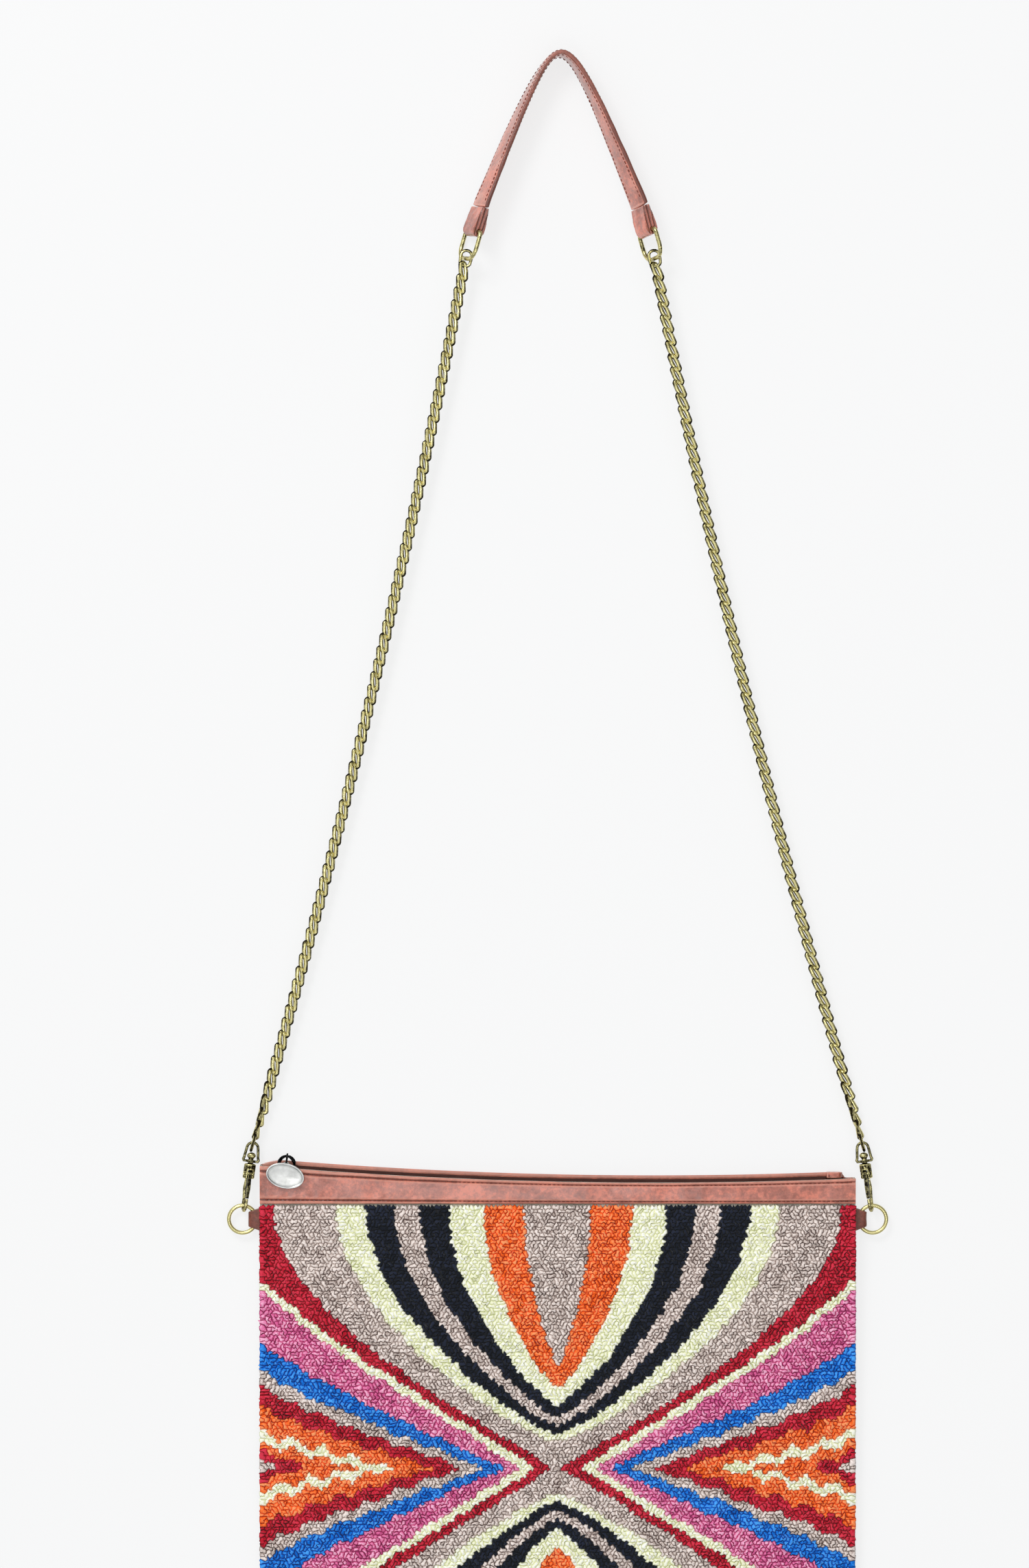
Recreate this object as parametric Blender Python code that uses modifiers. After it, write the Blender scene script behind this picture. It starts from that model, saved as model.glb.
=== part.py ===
"""Flat zip clutch bag with an embroidered front and a detachable chain shoulder strap.

The bag lies on its back: width on X, mouth and strap towards +Y, front face up.
The origin is the middle of the back panel's outer face. Lengths are in metres.
"""

import math

import bmesh
import bpy
from mathutils import Matrix, Vector

MM = 0.001
SIDES = (("left", -1), ("right", 1))

# Clearances
GAP = 0.3 * MM
PILE_GAP = 0.6 * MM
PIN_GAP = 0.15 * MM
WELD_DISTANCE = 0.002 * MM
AXIS_MARK = 5 * MM
SLOPE_STEP = 0.001
CUTTER_REACH = 4

# Bag body
BAG_WIDTH = 305 * MM
BAG_BOTTOM_TO_ORIGIN = 143 * MM
BAG_TOP_TO_ORIGIN = 137.1 * MM
BAG_CORNER_RADIUS = 4 * MM
MOUTH_ARC_RADIUS = 2350 * MM
MOUTH_LOW_POINT_X = 50 * MM
BACK_CLOTH = 1.2 * MM
FRONT_CLOTH = 1.0 * MM
LINING_CLOTH = 0.5 * MM
SEAM_DEPTH = 3.0 * MM
MOUTH_DEPTH = 5.4 * MM
BELLY_DEPTH = 7.0 * MM
BELLY_POWER = 4
MOUTH_POWER = 3
FRONT_COLUMNS = 14
FIELD_ROWS = 10
BAND_ROWS = 2
PILE_HEIGHT = 2.0 * MM
PILE_FIELD_GAP = 0.4 * MM

# Leather bands along the mouth
BAND_THICKNESS = 1.2 * MM
BAND_LOWER_EDGE = 126.4 * MM
REAR_BAND_RISE = 3.2 * MM

# Zip
COIL_RISE = -0.9 * MM
COIL_WIDTH = 1.3 * MM
COIL_HEIGHT = 1.6 * MM
COIL_SPACING = 1.2 * MM
TAPE_THICKNESS = 0.5 * MM
TAPE_HALF_WIDTH = 3.4 * MM
TAPE_LEG = 8 * MM
TAPE_END_INSET = 6.5 * MM
ZIP_STEPS = 20
STOP_LENGTH = 1.5 * MM
SLIDER_LENGTH = 9.5 * MM
SLIDER_HALF_WIDTH = 2.75 * MM
SLIDER_PLATE = 0.9 * MM
SLIDER_POST = 0.5 * MM
SLIDER_POST_LENGTH = 1.6 * MM
BRIDGE_RISE = 5.0 * MM
BRIDGE_BAR = 0.7 * MM
BRIDGE_WIDTH = 0.8 * MM
BRIDGE_LEG = 1.4 * MM
LINK_WIRE = 0.7 * MM
LINK_HALF_WIDTH = 1.0 * MM
LINK_REACH = 6.5 * MM
LINK_DROOP = 30
DISC_LENGTH = 19.7 * MM
DISC_HEIGHT = 12.8 * MM
DISC_THICKNESS = 1.8 * MM
DISC_TILT = -8
OVAL_SIDES = 28
LUG_WIDTH = 1.0 * MM
LUG_RADIUS = 1.5 * MM
LUG_HOLE_RADIUS = 0.75 * MM
LUG_INSET = 0.6 * MM
END_TAB_LENGTH = 8.1 * MM
END_TAB_THICKNESS = 3.0 * MM

# Side rings and their leather tabs
SIDE_RING_RADIUS = 7 * MM
SIDE_RING_WIRE = 2 * MM
SIDE_RING_SIDES = 24
SIDE_RING_Y = 118 * MM
SIDE_RING_Z = 4.2 * MM
TAB_LEATHER = 1.0 * MM
TAB_SLACK = 0.6 * MM
TAB_REACH = 5.8 * MM
TAB_HEIGHT = 7.4 * MM
TAB_ROOT_HEIGHT = 11.5 * MM

# Snap hooks: lengths run up from the bow's lowest point
HOOK_TILT = 8
HOOK_ROLL = 15
HOOK_ON_RING = 1.0 * MM
HOOK_Z = 5.0 * MM
BOW_WIRE = 1.8 * MM
BOW_RADIUS = 3.2 * MM
BOW_SHOULDER = 12 * MM
BOW_IN_BARREL = 3.6 * MM
NOSE_TOP = 7.2 * MM
BARREL_BOTTOM = 17.5 * MM
BARREL_TOP = 25.2 * MM
BARREL_RADIUS = 2.3 * MM
BARREL_EDGE = 0.4 * MM
NECK_RADIUS = 1.0 * MM
BALL_RADIUS = 1.8 * MM
BALL_RINGS = (-10, 25, 60)
GATE_PIN_HEIGHT = 20 * MM
GATE_PIN_OFFSET = 0.9 * MM
GATE_PIN_RADIUS = 0.6 * MM
GATE_PIN_LENGTH = 4.0 * MM
GATE_THICKNESS = 1.4 * MM
GATE_BAR = 1.6 * MM
GATE_EYE_RADIUS = 1.35 * MM
GATE_EYE_WRAP = 115
SLOT_BACK = 1.6 * MM
SLOT_TOP = 22 * MM
SPRING_LEAF = 0.3 * MM
SPRING_WIDTH = 1.2 * MM
SPRING_LENGTH = 3.8 * MM

# Swivel eyes
EYE_WIRE = 1.6 * MM
EYE_HALF_WIDTH = 3.6 * MM
EYE_ARCH_RADIUS = 2.9 * MM
EYE_HEIGHT = 9.6 * MM
EYE_BOSS_RADIUS = 2.1 * MM
EYE_BOSS_HEIGHT = 1.4 * MM

# Chains
CHAIN_PITCH = 6.8 * MM
CHAIN_LINK_WIDTH = 5.8 * MM
CHAIN_WAIST = 3.2 * MM
CHAIN_HOLE_WIDTH = 2.6 * MM
CHAIN_HOLE_SHARE = 0.64
CHAIN_THICKNESS = 2.6 * MM
CHAIN_END_WIDTH = 7.8 * MM
CHAIN_END_HOLE = 5.0 * MM
CHAIN_NOSE_WIDTH = 4.5 * MM
CHAIN_BOW = 5.5 * MM
CHAIN_TWIST = 90
CHAIN_TWIST_SHARE = 0.08

# Shoulder pad, its end loops and the upper rings
PAD_APEX_Y = 715 * MM
PAD_HALF_SPREAD = 40.5 * MM
PAD_STEEPNESS = 2.64
PAD_APEX_ROUND = 35 * MM
PAD_SPREAD_POWER = 1.2
PAD_STEPS = 30
PAD_WIDTH = 18 * MM
PAD_THICKNESS = 3.4 * MM
PAD_END_TWIST = 25
PAD_CENTRE_Z = 10.4 * MM
STRAP_LEAN = 1.3 * MM
LOOP_LENGTH = 15.5 * MM
LOOP_END_WALL = 1.4 * MM
PAD_TO_LOOP = 1.2 * MM
LOOP_THICKNESS = 6.8 * MM
LOOP_WIDTH = 14.4 * MM
LOOP_TILT = 16
UPPER_RING_WIRE = 2.0 * MM
UPPER_RING_WIDTH = 21 * MM
UPPER_RING_LENGTH = 14.4 * MM
UPPER_RING_CORNER = 2.0 * MM
UPPER_RING_ROUND = 6.0 * MM

# Stitched fields of the front: half-widths at the band's edge, and how far each V's point
# stops short of the crossing in the middle of the front
V_HALF_WIDTHS = (17 * MM, 38 * MM, 56 * MM, 98 * MM, 113.5 * MM)
V_POINTS = (53 * MM, 40.7 * MM, 31.2 * MM, 17.5 * MM, 12.9 * MM)
V_COLOURS = ("taupe", "orange", "cream", "black", "cream")
CORNER_CHEVRON = 7 * MM
CROSS_WAIST = 1.4 * MM
# Chevrons of the sides: half-heights at the side edge, and distances of their points from the middle
CHEVRON_HALF_HEIGHTS = (97 * MM, 63 * MM, 41 * MM, 31 * MM, 12.7 * MM)
CHEVRON_POINTS = (10.9 * MM, 27 * MM, 48.8 * MM, 63.3 * MM, 99 * MM)
CHEVRON_COLOURS = ("red", "pink", "blue", "red", "orange", "cream")
V_FLARE_POWER = 0.8
V_STEP_POWER = 1.5
CHEVRON_STRAIGHT_SHARE = 0.9
CHEVRON_FLARE_POWER = 4
FIELD_STEPS = 7
DRAPE_CUTS = 6

COLOURS = {
    "taupe": (0.451, 0.328, 0.300),
    "orange": (0.905, 0.133, 0.012),
    "cream": (0.807, 0.855, 0.552),
    "black": (0.007, 0.010, 0.019),
    "red": (0.434, 0.006, 0.019),
    "pink": (0.730, 0.112, 0.305),
    "blue": (0.001, 0.156, 0.631),
    "leather": (0.434, 0.150, 0.107),
    "canvas": (0.610, 0.560, 0.480),
    "back": (0.020, 0.020, 0.022),
    "lining": (0.440, 0.380, 0.300),
    "zip": (0.120, 0.060, 0.045),
    "black_metal": (0.012, 0.012, 0.013),
    "silver": (0.750, 0.740, 0.720),
    "antique_brass": (0.300, 0.255, 0.085),
}

# Sizes that follow from the ones above
HALF_WIDTH = BAG_WIDTH / 2
CANVAS_HALF = HALF_WIDTH - FRONT_CLOTH
BACK_TOP = BACK_CLOTH
ZIP_Z = BACK_TOP + (SEAM_DEPTH + MOUTH_DEPTH) / 2 - GAP / 2
FIELD_TOP = BAND_LOWER_EDGE - PILE_FIELD_GAP
FIELD_CENTRE = (FIELD_TOP - BAG_BOTTOM_TO_ORIGIN) / 2
FIELD_HALF = (FIELD_TOP + BAG_BOTTOM_TO_ORIGIN) / 2
ARC_CENTRE_Y = BAG_TOP_TO_ORIGIN + MOUTH_ARC_RADIUS
TAPE_END = HALF_WIDTH - TAPE_END_INSET
SLIDER_X = -TAPE_END + STOP_LENGTH + 2 * GAP + SLIDER_LENGTH / 2
SLIDER_HALF_HEIGHT = COIL_HEIGHT / 2 + GAP + SLIDER_PLATE
END_TAB_START = TAPE_END - END_TAB_LENGTH
TAB_X = HALF_WIDTH + GAP
TAB_POCKET_START = TAB_LEATHER / 2
SIDE_RING_X = TAB_X + TAB_POCKET_START + GAP + SIDE_RING_WIRE / 2 + SIDE_RING_RADIUS
YZ_PLANE = Matrix(((0, 0, 1, 0), (1, 0, 0, 0), (0, 1, 0, 0), (0, 0, 0, 1)))
SWING_Y = SIDE_RING_Y + math.sqrt(SIDE_RING_RADIUS ** 2 - HOOK_ON_RING ** 2)


def mouth_line(x, rise=0.0):
    """Height on Y of the mouth's shallow arc, raised towards its centre by the given amount."""
    radius = MOUTH_ARC_RADIUS - rise
    return ARC_CENTRE_Y - math.sqrt(radius ** 2 - (x - MOUTH_LOW_POINT_X) ** 2)


def inner_depth(x, y):
    """Height of the hollow between the back panel and the front canvas."""
    across = min(1.0, abs(x) / CANVAS_HALF)
    along = min(1.0, abs(y - FIELD_CENTRE) / FIELD_HALF)
    rise = max(0.0, (y + BAG_BOTTOM_TO_ORIGIN) / (BAG_TOP_TO_ORIGIN + BAG_BOTTOM_TO_ORIGIN))
    belly = BELLY_DEPTH * (1 - across ** BELLY_POWER) * (1 - along ** BELLY_POWER)
    return SEAM_DEPTH + MOUTH_DEPTH * rise ** MOUTH_POWER + belly


def canvas_top(x, y):
    """Height of the front canvas's outer face above the ground."""
    return BACK_TOP + inner_depth(x, y) + FRONT_CLOTH


def make_collection(name):
    """Add a collection to the scene."""
    collection = bpy.data.collections.new(name)
    bpy.context.scene.collection.children.link(collection)
    return collection


def make_material(name, colour, roughness, metallic):
    """Make a Principled material."""
    material = bpy.data.materials.new(name)
    material.use_nodes = True
    shader = material.node_tree.nodes["Principled BSDF"]
    shader.inputs["Base Color"].default_value = (*COLOURS[colour], 1.0)
    shader.inputs["Roughness"].default_value = roughness
    shader.inputs["Metallic"].default_value = metallic
    return material


def add_object(name, mesh, collection, finish=None):
    """Link a mesh as a named object; finish is a colour, a roughness and a metallic value."""
    obj = bpy.data.objects.new(name, mesh)
    collection.objects.link(obj)
    if finish:
        mesh.materials.clear()
        mesh.materials.append(make_material(name, *finish))
    return obj


def add_empty(name, collection, location, rotation=(0, 0, 0), parent=None):
    """Add an empty that marks a joint's axis."""
    empty = bpy.data.objects.new(name, None)
    empty.empty_display_size = AXIS_MARK
    collection.objects.link(empty)
    empty.parent = parent
    empty.location = location
    empty.rotation_euler = [math.radians(angle) for angle in rotation]
    return empty


def seat(obj, parent, point):
    """Give an object built in its parent's surroundings an origin at a point, under that parent."""
    point = Vector(point)
    obj.data.transform(Matrix.Translation(-point))
    obj.parent = parent
    obj.location = point - parent.location if parent else point


def bmesh_to_mesh(name, bm):
    """Store a bmesh as a mesh with outward faces."""
    bmesh.ops.recalc_face_normals(bm, faces=bm.faces)
    mesh = bpy.data.meshes.new(name)
    bm.to_mesh(mesh)
    bm.free()
    return mesh


def curve_to_mesh(name, curve):
    """Turn a curve into a closed mesh with welded caps."""
    guide = bpy.data.objects.new(name, curve)
    bpy.context.scene.collection.objects.link(guide)
    graph = bpy.context.evaluated_depsgraph_get()
    mesh = bpy.data.meshes.new_from_object(guide.evaluated_get(graph))
    bpy.data.objects.remove(guide)
    bm = bmesh.new()
    bm.from_mesh(mesh)
    bmesh.ops.remove_doubles(bm, verts=bm.verts, dist=WELD_DISTANCE)
    bmesh.ops.dissolve_degenerate(bm, edges=bm.edges, dist=WELD_DISTANCE)
    return bmesh_to_mesh(name, bm)


def add_spline(curve, points, cyclic):
    """Add a POLY spline through the points."""
    spline = curve.splines.new("POLY")
    spline.points.add(len(points) - 1)
    for spot, point in zip(spline.points, points):
        spot.co = (*point, 1.0) if len(point) == 3 else (*point, 0.0, 1.0)
    spline.use_cyclic_u = cyclic


def plate(name, loops, thickness):
    """Flat piece in the XY plane from an outline and its holes, half its thickness each side."""
    curve = bpy.data.curves.new(name, "CURVE")
    curve.dimensions = "2D"
    curve.fill_mode = "BOTH"
    curve.extrude = thickness / 2
    for loop in loops:
        add_spline(curve, loop, True)
    return curve_to_mesh(name, curve)


def wire(name, points, diameter, cyclic=False):
    """Round wire along the points."""
    curve = bpy.data.curves.new(name, "CURVE")
    curve.dimensions = "3D"
    curve.bevel_depth = diameter / 2
    curve.bevel_resolution = 1
    curve.use_fill_caps = not cyclic
    add_spline(curve, points, cyclic)
    return curve_to_mesh(name, curve)


def arc(centre, radius, start, end, steps):
    """Points along a circular arc in a plane; angles in degrees."""
    points = []
    for step in range(steps + 1):
        angle = math.radians(start + (end - start) * step / steps)
        points.append((centre[0] + radius * math.cos(angle), centre[1] + radius * math.sin(angle)))
    return points


def circle(centre, radius, sides):
    """Closed ring of points."""
    return arc(centre, radius, 0, 360 - 360 / sides, sides - 1)


def box(name, low, high):
    """Block between two corners."""
    bm = bmesh.new()
    bmesh.ops.create_cube(bm, size=1.0)
    for vert in bm.verts:
        vert.co = Vector(low[i] + (high[i] - low[i]) * (vert.co[i] + 0.5) for i in range(3))
    return bmesh_to_mesh(name, bm)


def cylinder(name, radius, length, axis, centre, sides=12):
    """Round bar along an axis."""
    bm = bmesh.new()
    bmesh.ops.create_cone(bm, cap_ends=True, segments=sides, radius1=radius, radius2=radius, depth=length)
    turn = Vector((0, 0, 1)).rotation_difference(Vector(axis)).to_matrix().to_4x4()
    bmesh.ops.transform(bm, matrix=Matrix.Translation(centre) @ turn, verts=bm.verts)
    return bmesh_to_mesh(name, bm)


def sheet(name, columns, rows, spot, skirt_floor=None, closed_floor=False):
    """Open surface through spot(column, row), with an optional skirt down to a floor on three sides."""
    bm = bmesh.new()
    bmesh.ops.create_grid(bm, x_segments=columns, y_segments=rows, size=1.0)
    cell = {}
    for vert in bm.verts:
        cell[vert] = (round((vert.co.x + 1) / 2 * columns), round((vert.co.y + 1) / 2 * rows))
    for vert, (column, row) in cell.items():
        vert.co = spot(column, row)
    if skirt_floor is not None:
        rim = [edge for edge in bm.edges if edge.is_boundary]
        rim = [edge for edge in rim if not all(cell[vert][1] == rows for vert in edge.verts)]
        grown = bmesh.ops.extrude_edge_only(bm, edges=rim)["geom"]
        hem = [item for item in grown if isinstance(item, bmesh.types.BMVert)]
        for vert in hem:
            vert.co.z = skirt_floor
        if closed_floor:
            hem_edges = [item for item in grown if isinstance(item, bmesh.types.BMEdge)]
            mouth = [vert for vert in hem if sum(edge in hem_edges for edge in vert.link_edges) == 1]
            hem_edges.append(bm.edges.new(mouth))
            bmesh.ops.contextual_create(bm, geom=hem_edges)
    bmesh.ops.recalc_face_normals(bm, faces=bm.faces)
    highest = max(bm.faces, key=lambda face: face.calc_center_median().z)
    if highest.normal.z < 0:
        bmesh.ops.reverse_faces(bm, faces=bm.faces)
    mesh = bpy.data.meshes.new(name)
    bm.to_mesh(mesh)
    bm.free()
    return mesh


def thicken(obj, thickness, offset):
    """Give an open surface its thickness: offset 1 grows outward, -1 inward, 0 both ways."""
    solid = obj.modifiers.new("Thickness", "SOLIDIFY")
    solid.thickness = thickness
    solid.offset = offset
    solid.use_even_offset = True


def cut(obj, cutter, operation="DIFFERENCE"):
    """Cut an object by another, or join the other to it, keeping the other as a hidden guide."""
    cutter.hide_render = True
    cutter.display_type = "WIRE"
    boolean = obj.modifiers.new(cutter.name, "BOOLEAN")
    boolean.operation = operation
    boolean.object = cutter


def spaced(count):
    """Stations from -1 to 1 that crowd towards both ends."""
    return [math.sin(math.pi / 2 * (2 * step / count - 1)) for step in range(count + 1)]


def bag_rows():
    """Stations on Y of the front: over the stitched field, then a share of the band above it."""
    field = [FIELD_CENTRE + FIELD_HALF * station for station in spaced(FIELD_ROWS)]
    return field, [(row + 1) / BAND_ROWS for row in range(BAND_ROWS)]


def front_sheet(name, half_width, bottom, top_line, height, floor, closed_floor=False):
    """Domed sheet of the front with side walls down to a floor."""
    stations = [half_width * station for station in spaced(FRONT_COLUMNS)]
    field, shares = bag_rows()
    field[0] = bottom

    def spot(column, row):
        x = stations[column]
        if row < len(field):
            y = field[row]
        else:
            y = field[-1] + (top_line(x) - field[-1]) * shares[row - len(field)]
        return (x, y, height(x, y))

    rows = len(field) + len(shares) - 1
    return sheet(name, len(stations) - 1, rows, spot, floor, closed_floor)


def build_bag_cloth(parts):
    """Back panel, front canvas and the lining pouch between them."""
    corner = BAG_CORNER_RADIUS
    low = -BAG_BOTTOM_TO_ORIGIN
    top = BAND_LOWER_EDGE - GAP
    outline = arc((HALF_WIDTH - corner, low + corner), corner, -90, 0, 4)
    outline += [(HALF_WIDTH, top), (-HALF_WIDTH, top)]
    outline += arc((-HALF_WIDTH + corner, low + corner), corner, 180, 270, 4)
    mesh = plate("back_panel", [outline], BACK_CLOTH)
    mesh.transform(Matrix.Translation((0, 0, BACK_CLOTH / 2)))
    add_object("back_panel", mesh, parts, ("back", 0.9, 0.0))

    def canvas_underside(x, y):
        return BACK_TOP + inner_depth(x, y)

    bottom = low + FRONT_CLOTH
    mesh = front_sheet("front_canvas", CANVAS_HALF, bottom, mouth_line, canvas_underside, BACK_TOP + GAP)
    canvas = add_object("front_canvas", mesh, parts, ("canvas", 0.9, 0.0))
    thicken(canvas, FRONT_CLOTH, 1)

    lining_gap = 2 * GAP

    def lining_outside(x, y):
        return canvas_underside(x, y) - lining_gap

    def lining_mouth(x):
        return mouth_line(MOUTH_LOW_POINT_X, COIL_RISE - TAPE_LEG) - lining_gap

    half = CANVAS_HALF - lining_gap
    bottom += lining_gap
    mesh = front_sheet("lining", half, bottom, lining_mouth, lining_outside, BACK_TOP + GAP, True)
    lining = add_object("lining", mesh, parts, ("lining", 0.85, 0.0))
    thicken(lining, LINING_CLOTH, -1)


def v_edge(index, depth):
    """Half-width of a V at a distance above or below the crossing."""
    point = V_POINTS[index]
    share = max(0.0, (depth - point) / (FIELD_HALF - point))
    return V_HALF_WIDTHS[index] * math.sin(math.pi / 2 * share) ** V_FLARE_POWER


def cross_edge(depth):
    """Half-width of the plain cross between the Vs and the chevrons."""
    reach = HALF_WIDTH - CORNER_CHEVRON - CROSS_WAIST
    return CROSS_WAIST + reach * math.sin(math.pi / 2 * depth / FIELD_HALF)


def chevron_edge(index, x):
    """Half-height of a chevron at a distance from the middle line."""
    share = max(0.0, (x - CHEVRON_POINTS[index]) / (HALF_WIDTH - CHEVRON_POINTS[index]))
    flare = (1 - CHEVRON_STRAIGHT_SHARE) * share ** CHEVRON_FLARE_POWER
    return CHEVRON_HALF_HEIGHTS[index] * share * (CHEVRON_STRAIGHT_SHARE + flare)


def v_curve(index, inset):
    """Half of a V's edge from the field's end to its point, moved towards the crossing by an inset."""
    points = []
    for step in range(FIELD_STEPS + 1):
        share = (1 - step / FIELD_STEPS) ** V_STEP_POWER
        depth = V_POINTS[index] + (FIELD_HALF - V_POINTS[index]) * share
        points.append((v_edge(index, depth) + inset, depth))
    points[-1] = (0.0, V_POINTS[index] - inset)
    return points


def cross_curve(inset):
    """Quarter of the cross's edge, from the field's end to the middle line."""
    points = []
    for step in range(FIELD_STEPS + 1):
        depth = FIELD_HALF * (1 - step / FIELD_STEPS)
        points.append((cross_edge(depth) + inset, depth))
    return points


def chevron_curve(index, inset):
    """Half of a chevron's edge, from the side to its point, moved outward by an inset."""
    points = []
    for step in range(FIELD_STEPS):
        share = 1 - step / FIELD_STEPS
        x = CHEVRON_POINTS[index] + (HALF_WIDTH - CHEVRON_POINTS[index]) * share
        points.append((x, chevron_edge(index, x) - inset))
    points.append((CHEVRON_POINTS[index] + inset, 0.0))
    return points


def mirror_x(points):
    """Points mirrored across the middle line, in reverse order."""
    return [(-x, y) for x, y in reversed(points)]


def mirror_y(points):
    """Points mirrored across the crossing, in reverse order."""
    return [(x, -y) for x, y in reversed(points)]


def drape(mesh, lower, upper):
    """Bend a flat plate over the front: its low face and its high face take their own heights."""
    bm = bmesh.new()
    bm.from_mesh(mesh)
    for station in spaced(DRAPE_CUTS)[1:-1]:
        everything = list(bm.verts) + list(bm.edges) + list(bm.faces)
        spot = (CANVAS_HALF * station, 0, 0)
        bmesh.ops.bisect_plane(bm, geom=everything, dist=WELD_DISTANCE, plane_co=spot, plane_no=(1, 0, 0))
    for vert in bm.verts:
        rise = lower if vert.co.z < 0 else upper
        vert.co.z = canvas_top(vert.co.x, vert.co.y) + rise
    bm.to_mesh(mesh)
    bm.free()


def add_field(name, colour, outline, flip_x, flip_y, parts):
    """One stitched field of the front, as a raised pad on the canvas."""
    turned = [(x * flip_x, FIELD_CENTRE + y * flip_y) for x, y in outline]
    mesh = plate(name, [turned], PILE_HEIGHT)
    drape(mesh, PILE_GAP, PILE_GAP + PILE_HEIGHT)
    add_object(name, mesh, parts, (colour, 0.95, 0.0))


def build_pile(parts):
    """The stitched fields: nested Vs above and below, nested chevrons at the sides, a cross between."""
    half_gap = PILE_FIELD_GAP / 2
    for place, flip in (("upper", 1), ("lower", -1)):
        for index, colour in enumerate(V_COLOURS):
            outer = v_curve(index, -half_gap)
            outline = outer[:-1] + mirror_x(outer)
            if index:
                inner = v_curve(index - 1, half_gap)
                ring = inner[:-1] + mirror_x(inner)
                outline = outline + ring[::-1]
            add_field(f"pile_{place}_{index + 1}_{colour}", colour, outline, 1, flip, parts)
    top_left = v_curve(len(V_COLOURS) - 1, half_gap)
    quarter = cross_curve(-half_gap)
    right = quarter + mirror_y(quarter)[1:]
    bottom = [(x, -y) for x, y in top_left[:-1]] + [(-x, -y) for x, y in reversed(top_left)]
    top = [(-x, y) for x, y in top_left[:-1]] + list(reversed(top_left))
    outline = right + bottom + mirror_x(right) + top
    add_field("pile_cross_taupe", "taupe", outline, 1, 1, parts)
    for place, flip in SIDES:
        for index, colour in enumerate(CHEVRON_COLOURS):
            if index == 0:
                outer = cross_curve(half_gap)
                outer = [(HALF_WIDTH, FIELD_HALF)] + outer
            else:
                outer = chevron_curve(index - 1, half_gap)
            outline = outer[:-1] + mirror_y(outer)
            if index < len(CHEVRON_COLOURS) - 1:
                inner = chevron_curve(index, -half_gap)
                ring = inner[:-1] + mirror_y(inner)
                outline = outline + ring[::-1]
            add_field(f"pile_{place}_{index + 1}_{colour}", colour, outline, flip, 1, parts)


def build_bands(parts):
    """Leather bands along the mouth, front and rear."""
    stations = [HALF_WIDTH * station for station in spaced(FRONT_COLUMNS)]
    lower = BAND_LOWER_EDGE
    outline = [(x, mouth_line(x, REAR_BAND_RISE)) for x in stations]
    outline += [(HALF_WIDTH, lower), (-HALF_WIDTH, lower)]
    mesh = plate("rear_band", [outline], BAND_THICKNESS)
    mesh.transform(Matrix.Translation((0, 0, BAND_THICKNESS / 2)))
    add_object("rear_band", mesh, parts, ("leather", 0.5, 0.0))

    def spot(column, row):
        x = stations[column]
        y = lower + (mouth_line(x) - lower) * row / BAND_ROWS
        return (x, y, canvas_top(x, y) + GAP)

    mesh = sheet("front_band", len(stations) - 1, BAND_ROWS, spot)
    band = add_object("front_band", mesh, parts, ("leather", 0.5, 0.0))
    thicken(band, BAND_THICKNESS, 1)


def zip_strip(name, corners, start, end, thickness, parts, colour):
    """Thin strip along the mouth's arc through section corners given as a rise and a height on Z."""
    def spot(column, row):
        x = start + (end - start) * column / ZIP_STEPS
        rise, z = corners[row]
        return (x, mouth_line(x, rise), z)

    mesh = sheet(name, ZIP_STEPS, len(corners) - 1, spot)
    strip = add_object(name, mesh, parts, (colour, 0.7, 0.0))
    thicken(strip, thickness, 0)


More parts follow.
